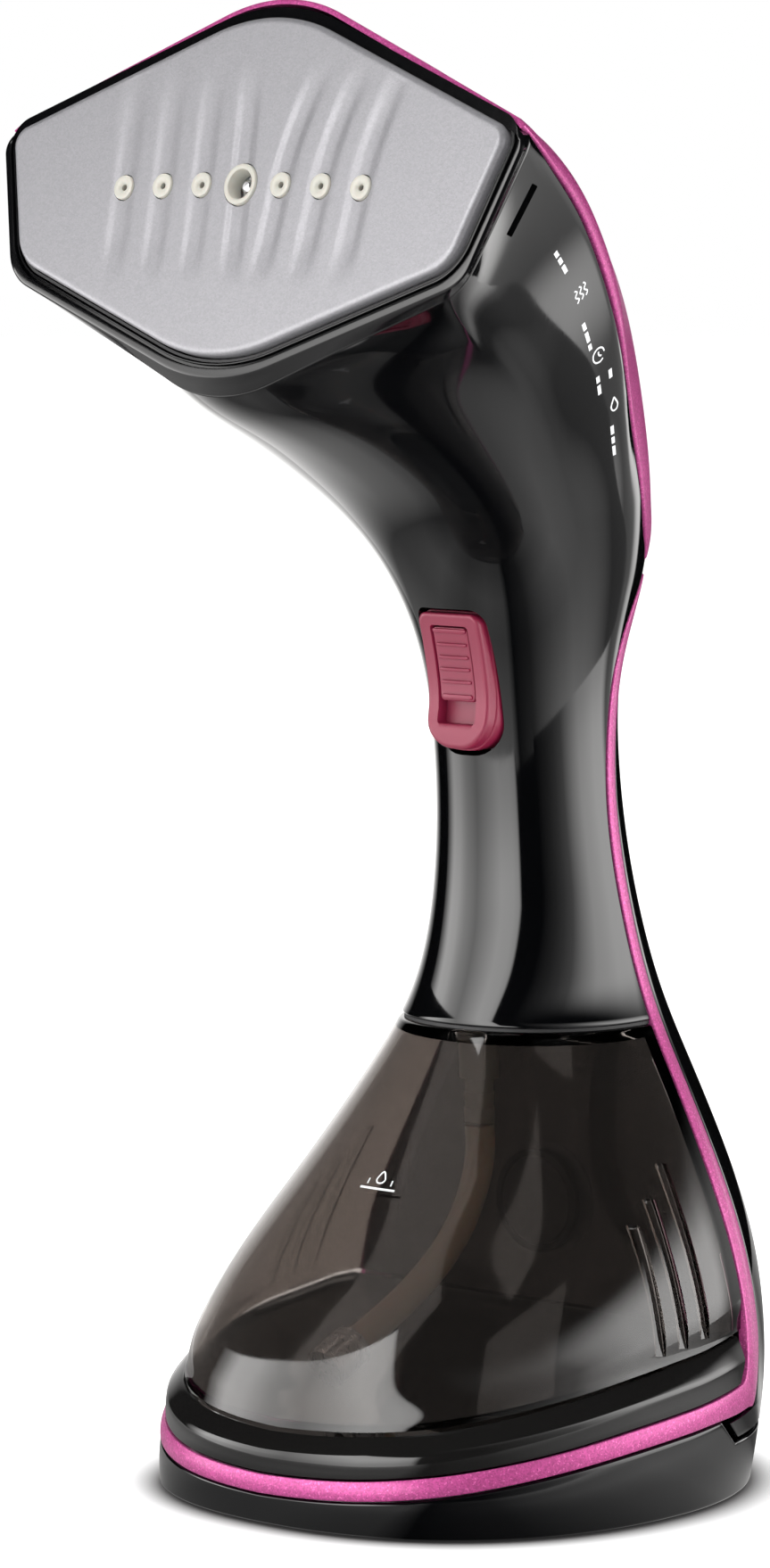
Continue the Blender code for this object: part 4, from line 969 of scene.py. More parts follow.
@dataclass
class HandleShells:
    """Black front shell, magenta top cover and black rear shell of the handle and head."""

    rim: float = 0.4
    cover_proud: float = 0.25
    lip_proud: float = 0.75
    opening_half: float = 8.7
    opening_top: float = 172.75
    opening_foot: float = 143.6
    slot_long: float = 10.4
    slot_wide: float = 2.5
    thin_from: float = 15.3  # station past which the cover thins to reach under the bezel
    thin_wall: float = 0.85

    def build(self) -> None:
        """Makes the three shells."""
        self.front()
        self.cover()
        self.rear()

    def front(self, rows: int = 168, columns: int = 151) -> None:
        """Front shell with its trigger opening and the two side slots."""
        start = float(SKIN.station_of(SEAM_Z + GAP))
        end = float(SKIN.at_depth(COVER_EDGE[-1][1], 4.4)[0])
        keys = np.concatenate([[start], CLIMB[CLIMB > start + 0.1], np.linspace(10.4, end, 11)])
        edges = np.array([float(table(STRIP_FRONT, k) if k < 10.01 else table(COVER_EDGE, k)) for k in keys])
        edges -= SKIN.per_angle(keys, edges, GAP / 2 + 0.1)
        s = np.linspace(0, 1, columns)
        u, angle = [], []
        for at in np.linspace(start, end, rows):
            edge = float(spline(keys, edges, at))
            here = edge + s * (-180 - 2 * edge)
            u.append(start + (at - start) / (end - start) * (SKIN.at_depth(here, 4.4) - start))
            angle.append(here)
        outer, inner = SKIN.at(u, angle), SKIN.at(u, angle, WALL)
        inner[0, :, 2] = outer[0, :, 2]
        hole = rounded_bar(self.opening_half, self.opening_top, self.opening_foot, 3.0, 7.0)
        cuts = lofted([[(x, y, z) for x, z in hole] for y in (-30.0, 8.0)])
        slot = self.side_slot()
        Piece("handle_front_shell", Body.MAIN, BLACK, ("front_shell",), "gloss_black").from_shape(
            rolled(outer, inner, self.rim), cuts + slot + slot.mirrored())
        floor = self.side_slot(-2.6, -1.9, 1.2)
        Piece("side_slot_floors", Body.MAIN, INNER, (), "inner_plastic").from_shape(floor + floor.mirrored())

    def side_slot(self, deep: float = -4.5, proud: float = 2.0, grow: float = 0.0) -> Shape:
        """Block laid along the head's side where the slot goes through."""
        middle, ends = SKIN.bare(15.26, -0.4), SKIN.bare([15.32, 15.22], [3.7, -4.5])
        along = unit(ends[0] - ends[1])
        out = unit(np.array([1.0, 0, 0]) - along[0] * along)
        across = np.cross(out, along)
        half_wide, half_long = self.slot_wide / 2 + grow, self.slot_long / 2 + grow
        line = rounded_bar(half_wide, half_long, -half_long, 0.3, 0.3, 5, 2)
        return lofted([[middle + z * along + x * across + d * out for x, z in line] for d in (deep, proud)])

    def cover(self, rows: int = 130, columns: int = 121) -> None:
        """Top cover, with its rear end raised to a soft lip."""
        s = np.linspace(0, 1, columns)
        lip = table(COVER_LIP, front_side(34 + s * 112))
        end = float(SKIN.at_depth(COVER_EDGE[-1][1], COVER_DEPTH)[0])
        u, angle = [], []
        for t in np.linspace(0, 1, rows) ** 1.25:
            now = lip + t * (end - lip)
            edge = table(COVER_EDGE, now) + SKIN.per_angle(now, 20.0, GAP / 2 + 0.1)
            here = edge + s * (180 - 2 * edge)
            u.append(lip + t * (SKIN.at_depth(here, COVER_DEPTH) - lip))
            angle.append(here)
        u, angle = np.array(u), np.array(angle)
        past = (u - lip) / SKIN.per_station(u, angle, 1.0)
        proud = self.cover_proud + self.lip_proud * np.exp(-(past / 5.0) ** 2) * np.sin(np.pi * s) ** 0.7
        Piece("head_top_cover", Body.MAIN, MAGENTA, ("top_cover",), "magenta_metal").from_shape(
            rolled(SKIN.at(u, angle, -proud),
                   SKIN.at(u, angle, np.where(u > self.thin_from, self.thin_wall, WALL)), 0.5))

    def rear(self, columns: int = 111) -> None:
        """Rear shell from its lower corners beside the foot up to the cover's lip."""
        s = np.linspace(0, 1, 33)
        lip_u, lip_angle = table(COVER_LIP, front_side(34 + s * 112)), None
        edge = table(COVER_EDGE, lip_u) + SKIN.per_angle(lip_u, 20.0, GAP / 2 + 0.1)
        lip_angle = edge + s * (180 - 2 * edge)
        keys = np.concatenate([[1.8], CLIMB])
        sides = table(STRIP_REAR, keys)
        sides = sides + SKIN.per_angle(keys, sides, GAP + 0.1)
        peak = float(np.interp(37.5, lip_angle, lip_u)) - 0.035
        keys, sides = np.append(keys, [10.06, peak]), np.append(sides, [42.0, 37.5])
        dense = np.linspace(1.86, peak, 150)
        rows = [(1.2, 18.2), (1.27, 16.9), (1.34, 15.6), (1.40, 14.5), (1.455, 13.5), (1.47, 16.5), (1.49, 20.0),
                (1.51, 24.0), (1.535, 27.6), (1.62, 27.4), (1.72, 27.3)]
        rows += [(float(k), float(np.interp(k, keys, sides) if k > 10 else spline(keys, sides, k))) for k in dense]
        s = np.linspace(0, 1, columns)
        u, angle = [], []
        for k, side in rows:
            here = side + s * (180 - 2 * side)
            ceiling = np.interp(here, lip_angle, lip_u) - 0.035
            u.append(k + (max(0.0, k - 8.0) / (peak - 8.0)) ** 2 * (ceiling - ceiling[0]))
            angle.append(here)
        hole = lathed((0, 50, LEAD_HEIGHT), (0, 1, 0), ((4.9, 0), (4.9, 20)), 40)
        Piece("handle_rear_shell", Body.MAIN, BLACK, ("rear_shell",), "gloss_black").from_shape(
            rolled(SKIN.at(u, angle), SKIN.at(u, angle, WALL), 0.3), hole)


@dataclass
class TrimBand:
    """Magenta strip round the front of the foot and up both sides to a point."""

    proud: float = 0.15
    crown: float = 0.22
    deep: float = 1.6

    def build(self, finer: int = 7, across: int = 9) -> None:
        """Sweeps the strip between its two edges."""
        turn = np.array([-90, -82, -74, -64.6, -52, -41, -32, -22, -12, -2, 8])
        upper = [(float(table(BAND_TOP, a)), float(a)) for a in turn] + [(1.89, 15.5), (1.93, 18.2), (2.02, 19.3)]
        lower = [(float(table(BAND_FOOT, a)), float(a)) for a in turn] + [(1.55, 17.0), (1.565, 22.5), (1.64, 25.8)]
        upper += [(float(k), float(table(STRIP_FRONT, k))) for k in CLIMB]
        lower += [(float(k), float(table(STRIP_REAR, k))) for k in CLIMB]
        index = np.arange(len(upper))
        fine = np.linspace(0, len(upper) - 1, finer * (len(upper) - 1) + 1)
        edges = [spline(index, np.array(line), fine) for line in (upper, lower)]
        both = []
        for line in edges:
            left = line[:0:-1].copy()
            left[:, 1] = -180 - left[:, 1]
            both.append(np.concatenate([left, line]))
        w = np.linspace(0, 1, across)[:, None, None]
        grid = both[0][None] * (1 - w) + both[1][None] * w
        u, angle = grid[..., 0], grid[..., 1]
        proud = self.proud + self.crown * (1 - (2 * w[..., 0] - 1) ** 2)
        Piece("trim_band", Body.MAIN, MAGENTA, ("trim_strip",), "magenta_metal").from_shape(
            rolled(SKIN.at(u, angle, -proud * np.ones_like(u)), SKIN.at(u, angle, self.deep), 0.22))


@dataclass
class Foot:
    """Foot wall, underside fittings and the rubber gland at the rear."""

    rim: float = 0.55
    pads: tuple[tuple[float, float], ...] = ((-34, -26), (34, -26), (-33, 34), (33, 34))

    def build(self) -> None:
        """Makes the foot wall, pads, screws and gland."""
        self.wall()
        self.underside()
        self.gland()

    def wall(self) -> None:
        """Wall of the foot, stepping down behind the strip."""
        side = np.concatenate([np.linspace(-90, 10, 101), np.linspace(11, 17, 13), np.linspace(18, 90, 73)])
        angle = np.concatenate([side, 180 - side[-2:0:-1]])
        folded = front_side(angle)
        stepped = np.interp(folded, (11.0, 17.0), (1.49, 1.15))
        top = np.where(folded < 11.0, table(BAND_FOOT, np.minimum(folded, 12.0)), stepped)
        top = top - SKIN.per_station(np.full_like(folded, 1.2), folded, GAP)
        u = 0.06 + np.linspace(0, 1, 16)[:, None] * (top - 0.06)[None]
        angle = np.broadcast_to(angle, u.shape)
        Piece("foot_wall", Body.MAIN, BLACK, ("foot_shell",), "gloss_black").from_shape(
            rolled(SKIN.at(u, angle), SKIN.at(u, angle, WALL), self.rim, True))

    def underside(self) -> None:
        """Ribbed rubber pads and screws under the base plate, each screw's cross recess a thin dark cross of painted
        shade.
        """
        places = [(x, y, 0.0) for x, y in self.pads]
        pad = ((5.4, 0.0), (5.75, 0.12), (6.0, 0.4), (6.0, 0.75), (0.3, 0.75))
        rings = [(4.4, 0.0), (4.3, 0.25), (3.6, 0.25), (3.5, 0.0), (2.3, 0.0), (2.2, 0.25), (1.4, 0.25), (1.3, 0.0)]
        shape = lathed((0, 0, 0), (0, 0, 1), [(0.2, 0.0), *rings[::-1], *pad], 40)
        spread(Piece("foot_pads", Body.MAIN, RUBBER, tuple(f"foot_pad_{k}" for k in range(1, 5)), "black_rubber"),
               shape, places)
        head = lathed((0, 0, 0.8), (0, 0, -1), ((2.9, 0), (2.9, 0.3), (2.6, 0.55), (2.1, 0.7), (0.2, 0.7)), 32)
        places = [(x * 0.62, y * 0.78, 0.0) for x, y in self.pads]
        spread(Piece("base_screws", Body.MAIN, STEEL, tuple(f"base_screw_{k}" for k in range(1, 5)), "steel"),
               head, places)
        # painted shade: a thin dark cross laid on each screw head stands in for the shade in its cross recess
        recess_shade_bar = lofted([[(x, y, z) for x, y in ((-1.5, -0.28), (1.5, -0.28), (1.5, 0.28), (-1.5, 0.28))]
                      for z in (0.05, 0.12)])
        turns = [(0, 0, a) for a in (0.3, 0.3 + math.pi / 2)] * 4
        spread(Piece("screw_crosses", Body.MAIN, INNER, (), "inner_plastic"), recess_shade_bar,
               [p for p in places for _ in (0, 1)], turns)
        dress(INNER, "base_plate")

    def gland(self) -> None:
        """Ribbed rubber gland where a lead would enter."""
        outer = [(6.4, 0.0), (6.6, 0.2), (6.6, 0.9), (4.6, 0.9), (4.6, 5.0), (5.3, 5.0), (5.4, 5.3)]
        for k in range(5):
            at = 6.0 + 1.15 * k
            r = 5.25 - 0.14 * k
            outer += [(r, at), (r, at + 0.55), (r - 0.75, at + 0.65), (r - 0.75, at + 1.05)]
        outer += [(4.5, 11.85), (4.35, 12.0)]
        bore = [(3.4, 12.0), (3.2, 11.8), (3.2, 0.0)]
        Piece("lead_gland", Body.MAIN, RUBBER, ("cord_gland",), "black_rubber").from_shape(
            lathed((0, 56.5, LEAD_HEIGHT), (0, 1, 0), outer + bore, 48, True))


# ---------------------------------------------------------------- steam head


@dataclass
class SteamHead:
    """Bezel, gasket, fluted soleplate and the seven nozzles."""

    flute_deep: float = 0.32
    flute_half: float = 3.1
    edge_roll: float = 1.1
    nozzle_small: float = 2.4
    nozzle_large: float = 4.0

    def build(self) -> None:
        """Makes the visible head parts and dresses the chamber behind them."""
        self.soleplate()
        self.surround()
        self.nozzles()
        dress(CAST, "steam_chamber")
        dress(STEEL, "chamber_lid", "thermostat", "heater_terminal_left", "heater_terminal_right", "steam_inlet")
        dress(INNER, "thermal_fuse")

    def ring(self, reach: Sequence[float], grow: float, out: float) -> Points:
        """Head outline at one depth."""
        line = hexagon(reach, grow)
        return on_face(line[:, 0], line[:, 1], out)

    def places(self) -> list[tuple[float, float, float]]:
        """Across, up and radius of the nozzles."""
        return [(k * NOZZLE_PITCH, -0.066 * k * k, self.nozzle_large if k == 0 else self.nozzle_small)
                for k in range(-3, 4)]

    def flutes(self, x: Points, v: Points) -> Points:
        """Depth of the seven shallow curved flutes at places on the plate."""
        total = np.zeros_like(x)
        for k in range(-3, 4):
            up = np.maximum(v, 0)
            lean = 0.05 * v + 0.0085 * up**2 if k > 0 else (-0.10 if k == 0 else -0.075) * v - 0.001 * up**2
            d = x - k * NOZZLE_PITCH - lean
            across = smooth_step((d + self.flute_half) / 1.5) * (1 - smooth_step((d - 0.7) / 2.6))
            window = smooth_step((v + 20) / 10) * (1 - smooth_step((v - 10) / 15))
            total += self.flute_deep * across * window * (1.0 if k >= 0 else 0.7)
        return total

    def soleplate(self, rings: int = 84) -> None:
        """Plate with a rolled rim, flutes and nozzle holes."""
        line = hexagon(PLATE_REACH, -self.edge_roll - 0.4, 26, 40)
        rows = []
        for t in np.linspace(0.012, 1, rings):
            rows.append(on_face(line[:, 0] * t, line[:, 1] * t, -self.flutes(line[:, 0] * t, line[:, 1] * t)))
        for turn in np.radians((0, 18, 36, 54, 72, 90)):
            grow = -self.edge_roll * (1 - math.sin(turn))
            rim = hexagon(PLATE_REACH, grow, 26, 40)
            rows.append(on_face(rim[:, 0], rim[:, 1], -self.edge_roll * (1 - math.cos(turn))))
        rim = hexagon(PLATE_REACH, 0.0, 26, 40)
        rows.append(on_face(rim[:, 0], rim[:, 1], -3.0))
        holes = Shape(np.zeros((0, 3)), [])
        for x, v, r in self.places():
            holes = holes + lathed(on_face(x, v, -4.0), FACE_OUT, ((r + 0.18, 0), (r + 0.18, 6)), 48)
        Piece("sole_plate", Body.MAIN, PLATE, ("soleplate",), "plate_silver", 30).from_shape(lofted(rows), holes)

    def surround(self) -> None:
        """Thin gasket, then the bezel: inner lip, dark groove, sloping face and rounded flank."""
        Piece("plate_gasket", Body.MAIN, RUBBER, ("soleplate_gasket",), "black_rubber").from_shape(
            lofted([self.ring(PLATE_REACH, g, n) for g, n in ((0.3, -2.6), (0.35, -2.1), (0.85, -2.1), (0.9, -2.6))],
                   True))
        profile = [(1.15, -3.4), (1.15, -1.75), (1.25, -1.6), (1.42, -1.6), (1.5, -1.75), (1.56, -2.5), (2.0, -2.5),
                   (2.08, -1.75), (2.2, -1.55)]
        rings = [self.ring(PLATE_REACH, g, n) for g, n in profile]
        for grow, n in ((-0.95, -1.5), (-0.55, -1.56), (-0.22, -1.75), (-0.05, -2.05)):
            rings.append(self.ring(BEZEL_UNDER_COVER, grow, n))
        outline, under = hexagon(BEZEL_REACH), hexagon(BEZEL_UNDER_COVER)
        turn = np.degrees(np.arctan2(outline[:, 1], outline[:, 0]))
        back = SKIN.bare(SKIN.at_depth(turn, 4.15), turn)
        shift = (under - outline) * smooth_step((outline[:, 1:] - 8.0) / 5.0)
        back = back + shift[:, :1] * np.array([1.0, 0, 0]) + shift[:, 1:] * FACE_UP
        rings += [rings[-1] * 0.5 + back * 0.5 + FACE_OUT * 0.1, back]
        Piece("head_bezel_ring", Body.MAIN, BEZEL_BLACK, ("head_bezel",), "gloss_black", 32).from_shape(
            lofted(rings, True))

    def nozzles(self) -> None:
        """Six small nozzles as copies of one turned part, and the larger middle one with its valve stem."""
        r = self.nozzle_small
        small = [(r, -3.0), (r, 0.05), (r - 0.12, 0.28), (r - 0.4, 0.4), (1.35, 0.36), (1.0, 0.22), (0.62, -0.15),
                 (0.6, -3.0)]
        shape = lathed((0, 0, 0), (0, -1, 0), small, 40, True)
        places = [on_face(x, v, 0.0) for x, v, size in self.places() if size < 3]
        spread(Piece("small_nozzles", Body.MAIN, IVORY, tuple(f"nozzle_{k}" for k in range(1, 7)), "nozzle_ivory", 30),
               shape, places, (-FACE_LEAN, 0, 0))
        r = self.nozzle_large
        large = [(r, -3.0), (r, 0.05), (r - 0.15, 0.35), (r - 0.45, 0.48), (3.2, 0.46), (2.95, 0.3), (2.85, -0.2),
                 (2.6, -3.0)]
        middle = on_face(0, 0, 0)
        Piece("middle_nozzle", Body.MAIN, IVORY, ("nozzle_center",), "nozzle_ivory", 30).from_shape(
            lathed(middle, FACE_OUT, large, 56, True))
        stem = [(0.15, -0.9), (0.8, -0.95), (1.15, -1.2), (1.25, -1.7), (1.25, -2.1), (1.9, -2.3), (1.9, -2.9),
                (0.2, -2.9)]
        Piece("valve_stem", Body.MAIN, STEEL, (), "steel", 30).from_shape(
            lathed(middle + np.array([0.9, 0, 0]) * 0.5, FACE_OUT, stem, 40))


# ---------------------------------------------------------------- water tank


@dataclass
class WaterTank:
    """Smoked tank with its stepped base, hose, outlet, filler cap and grip slots."""

    neck_roll: float = 0.9
    foot_draw: float = 0.95
    foot_fade: float = 4.5
    flange_rise: tuple[float, ...] = (7.7, 8.0, 9.0, 9.6)
    slot_lines: tuple = ((-2.6, 31.5, 0.6, 55.3), (4.1, 32.1, 6.7, 59.6), (11.0, 33.0, 13.5, 65.5))
    slot_wide: float = 2.7
    slot_deep: float = 1.25
    far_slot_deep: float = 0.5
    outlet_foot: float = 70.0
    hose_radius: float = 2.9
    weight_at: tuple[float, float, float] = (0.0, -31.0, 31.0)
    cap_radius: float = 11.4
    cap_teeth: int = 36

    def build(self) -> None:
        """Makes the tank's pieces."""
        self.shell()
        self.base()
        self.insides()
        self.shade_seam()
        self.cap()

    @staticmethod
    def back_angle(u: Any) -> Points:
        """Angle where the tank's flat rear meets the strip."""
        return table(STRIP_FRONT, np.maximum(u, 2.0)) - SKIN.per_angle(u, 15.0, GAP + 0.3)

    def flange(self, angle: Any, extra: float) -> Points:
        """Station of the flange's upper edge, raised by extra; or of its lower edge for a negative extra."""
        side = front_side(angle)
        low = table(BAND_TOP, side)
        rise = np.interp(side, (-90, -60, -30, 20), self.flange_rise) + extra if extra >= 0 else GAP
        return low + SKIN.per_station(low, side, rise)

    def around(self, u: Points, s: Points, inset: Any, flat: int = 24) -> Points:
        """Ring round the tank: along the skin, then straight across the rear.

        Args:
            u: station of each point.
            s: share of the way from the right rear edge to the left.
            inset: inward offset.
            flat: points across the rear.

        Returns:
            The ring's points.
        """
        edge = self.back_angle(u)
        angle = edge + s * (-180 - 2 * edge)
        ring = SKIN.at(u, angle, inset)
        if np.any(np.asarray(inset) > 1.9):
            ring[:, 1] = np.minimum(ring[:, 1], SKIN.bare(u[0], edge[0])[1] - float(np.max(inset)))
        t = np.linspace(0, 1, flat + 2)[1:-1, None]
        return np.concatenate([ring, ring[-1] + t * (ring[0] - ring[-1])])

    def shell(self, columns: int = 150, rows: int = 96) -> None:
        """Clear wall from the flange to the seam, hollow, with the grip slots pressed into its sides."""
        s = np.linspace(0, 1, columns)
        edge = float(self.back_angle(2.0))
        start = self.flange(edge + s * (-180 - 2 * edge), GAP)
        top = SEAM_Z - GAP
        end = float(SKIN.station_of(top - self.neck_roll))
        foot_z = SKIN.bare(start, edge + s * (-180 - 2 * edge))[:, 2]
        rings = []
        for t in np.linspace(0, 1, rows):
            u = start + t * (end - start)
            height = (SKIN.bare(u, edge + s * (-180 - 2 * edge))[:, 2] - foot_z) * 1.15
            rings.append(self.around(u, s, self.foot_draw * np.exp(-(height / self.foot_fade) ** 2)))
        for turn in np.radians((25, 50, 70, 90)):
            u = np.full(columns, float(SKIN.station_of(top - self.neck_roll * (1 - math.sin(turn)))))
            rings.append(self.around(u, s, np.full(columns, self.neck_roll * (1 - math.cos(turn)))))
        inner_end = float(SKIN.station_of(top - WALL))
        floor_angle = np.linspace(-90, 19, 60)
        floor = SKIN.bare(self.flange(floor_angle, 0.0), floor_angle)
        inner = [self.around(start + t * (inner_end - start), s, np.full(columns, WALL + 0.6 * (1 - t)))
                 for t in np.linspace(0, 1, 60)]
        inner[0][:, 2] = np.interp(inner[0][:, 1], floor[:, 1], floor[:, 2]) + GAP + 0.1
        outer_rows, inner_rows, n = len(rings), len(inner), len(rings[0])
        count = outer_rows * n
        faces = grid_faces(outer_rows, n, 0, True) + grid_faces(inner_rows, n, count, True)
        faces += bridge(list(range(n)), list(range(count, count + n)))
        faces += [list(range(count - n, count)), list(range(count + (inner_rows - 1) * n, count + inner_rows * n))]
        shape = Shape(np.concatenate([np.concatenate(rings), np.concatenate(inner)]), faces)
        cuts = lathed((0, 18, CAP_HEIGHT), (0, 1, 0), ((9.3, 0), (9.3, 14)), 48)
        cuts = cuts + lathed((0, TANK_OUTLET_Y, 80), (0, 0, 1), ((4.3, 0), (4.3, 14)), 40)
        for line in self.slot_lines:
            cuts = cuts + self.slot(*line, self.slot_deep) + self.slot(*line, self.far_slot_deep).mirrored()
        Piece("tank_wall", Body.TANK, SMOKED, ("tank_shell",), "smoked_plastic", 34).from_shape(shape, cuts)

    def slot(self, y0: float, z0: float, y1: float, z1: float, deep: float) -> Shape:
        """Cutter that follows the tank's right side along a slanting line, as deep all along."""
        t = np.linspace(0, 1, 40)[:, None]
        along = unit(np.array([y1 - y0, z1 - z0]))
        across = np.array([-along[1], along[0]]) * self.slot_wide / 2
        w = np.linspace(-1, 1, 5)[None]
        y, z = y0 + t * (y1 - y0) + w * across[0], z0 + t * (z1 - z0) + w * across[1]
        wall = np.stack([SKIN.half_width(y, z), y, z], -1)
        normal = unit(np.cross(np.gradient(wall, axis=0), np.gradient(wall, axis=1)))
        normal *= np.sign(normal[..., :1])
        return rolled(wall - normal * deep, wall + normal * 3.0, 0.12)

    def base(self, columns: int = 160) -> None:
        """Stepped flange under the wall: upright face, rounded shoulder and a ledge the wall stands on."""
        s = np.linspace(0, 1, columns)
        edge = float(self.back_angle(2.0)) - 2.2
        angle = edge + s * (-180 - 2 * edge)
        low, high = self.flange(angle, -1.0), self.flange(angle, 0.0)
        tall = (high - low) / SKIN.per_station(low, front_side(angle), 1.0)
        rings = []
        steps = [(0.0, 0.35), (0.015, 0.05), (0.06, -0.08), (0.2, -0.34), (0.34, -0.6), (0.44, -0.76), (0.5, -0.78),
                 (0.55, -0.66), (0.62, -0.42), (0.72, -0.05), (0.82, 0.35), (0.9, 0.7), (0.95, 1.0), (0.965, 1.5),
                 (0.93, 2.0), (0.93, 4.0)]
        for share, inset in steps:
            u = low + share * tall * SKIN.per_station(low, front_side(angle), 1.0)
            rings.append(SKIN.at(u, angle, np.full(columns, inset)))
        n = columns
        faces = grid_faces(len(rings), n, 0, True)
        last = (len(rings) - 1) * n
        for offset in (0, last):
            faces += [[offset + i, offset + i + 1, offset + n - 2 - i, offset + n - 1 - i] for i in range(n // 2 - 1)]
        Piece("tank_flange", Body.TANK, SMOKED_BASE, ("tank_base",), "smoked_plastic", 34).from_shape(
            Shape(np.concatenate(rings), faces))

    def insides(self) -> None:
        """Outlet spigot, dip hose and its weight."""
        spigot = [(2.9, 0), (3.05, 0.2), (2.9, 0.5), (3.05, 3.0), (2.75, 3.4), (3.05, 6.0), (2.75, 6.4), (2.9, 9.0),
                  (3.8, 9.0), (3.9, 9.2), (3.9, 20.2), (3.7, 20.4), (1.9, 20.4), (1.9, 0)]
        Piece("outlet_spigot", Body.TANK, IVORY, ("tank_outlet",), "nozzle_ivory", 30).from_shape(
            lathed((0, TANK_OUTLET_Y, self.outlet_foot), (0, 0, 1), spigot, 40, True))
        path = [(0, TANK_OUTLET_Y, self.outlet_foot - 0.4), (0, 4.4, 60), (0, -3.5, 47), (0, -18, 37), self.weight_at]
        tube(Piece("dip_hose", Body.TANK, TUBE, ("tank_hose",), "clear_silicone", 60), path, self.hose_radius)
        axis = unit(np.array([0, -13.0, -6.0]))
        weight = [(2.6, 0), (3.9, 0.2), (4.2, 0.6), (4.2, 2.4), (3.8, 2.7), (3.8, 3.3), (4.2, 3.6), (4.2, 8.4),
                  (3.8, 9.0), (1.4, 9.0), (1.2, 8.6), (1.2, 0)]
        Piece("hose_weight_collar", Body.TANK, STEEL, ("hose_weight",), "steel", 30).from_shape(
            lathed(np.array(self.weight_at) + axis * 0.4, axis, weight, 40, True))

    def shade_seam(self) -> None:
        """Painted shade: a dark ring set behind the seam above the tank, so the gap there reads dark."""
        turn = np.arange(0, 360, 3.0)
        rings = [SKIN.at(float(SKIN.station_of(SEAM_Z + z)), turn, inset)
                 for z, inset in ((-0.22, 0.75), (0.55, 0.6), (0.55, 2.1), (-0.22, 2.1))]
        # painted shade: the dark ring fills the seam gap, where only shade would show
        Piece("neck_seal", Body.MAIN, RUBBER, (), "black_rubber").from_shape(lofted(rings, True))

    def cap(self) -> None:
        """Filler cap with a finger bar and a grooved rim."""
        station, r = SKIN.station_of(CAP_HEIGHT), self.cap_radius
        rear = float(SKIN.bare(station, self.back_angle(station))[1])
        base = np.array([0, rear + 1.9, CAP_HEIGHT])
        body = [(0.2, 0.5), (8.2, 0.5), (8.8, 0.0), (11.0, 0.0), (r, 0.3), (r, 1.1), (11.2, 1.3), (8.9, 1.3),
                (8.9, 2.2), (8.6, 2.4), (8.9, 2.7), (8.9, 5.8), (8.7, 6.0), (0.2, 6.0)]
        Piece("filler_cap_body", Body.CAP, INNER, ("filler_cap",), "inner_plastic", 30).from_shape(
            lathed(base, (0, -1, 0), body, 56))
        bar = rounded_bar(7.6, 1.5, -1.5, 1.4, 1.4, 7, 6)
        Piece("filler_cap_bar", Body.CAP, INNER, (), "inner_plastic", 30).from_shape(
            lofted([[(x * g, base[1] + y, CAP_HEIGHT + z * g) for x, z in bar]
                    for y, g in ((-0.8, 1.0), (-0.15, 1.0), (0.0, 0.93))]))
        tooth = lofted([[(x, y, z) for x, y in ((-0.35, -0.45), (0.35, -0.45), (0.25, 0.45), (-0.25, 0.45))]
                        for z in (-0.2, 0.12)])
        turns = np.linspace(0, 2 * math.pi, self.cap_teeth, endpoint=False)
        spread(Piece("filler_cap_teeth", Body.CAP, INNER, (), "inner_plastic", 30), tooth,
               [(r * math.sin(a), base[1] - 0.7, CAP_HEIGHT + r * math.cos(a)) for a in turns],
               [(0, a, 0) for a in turns])
        dress(RUBBER, "cap_seal")


# ---------------------------------------------------------------- trigger and its lock


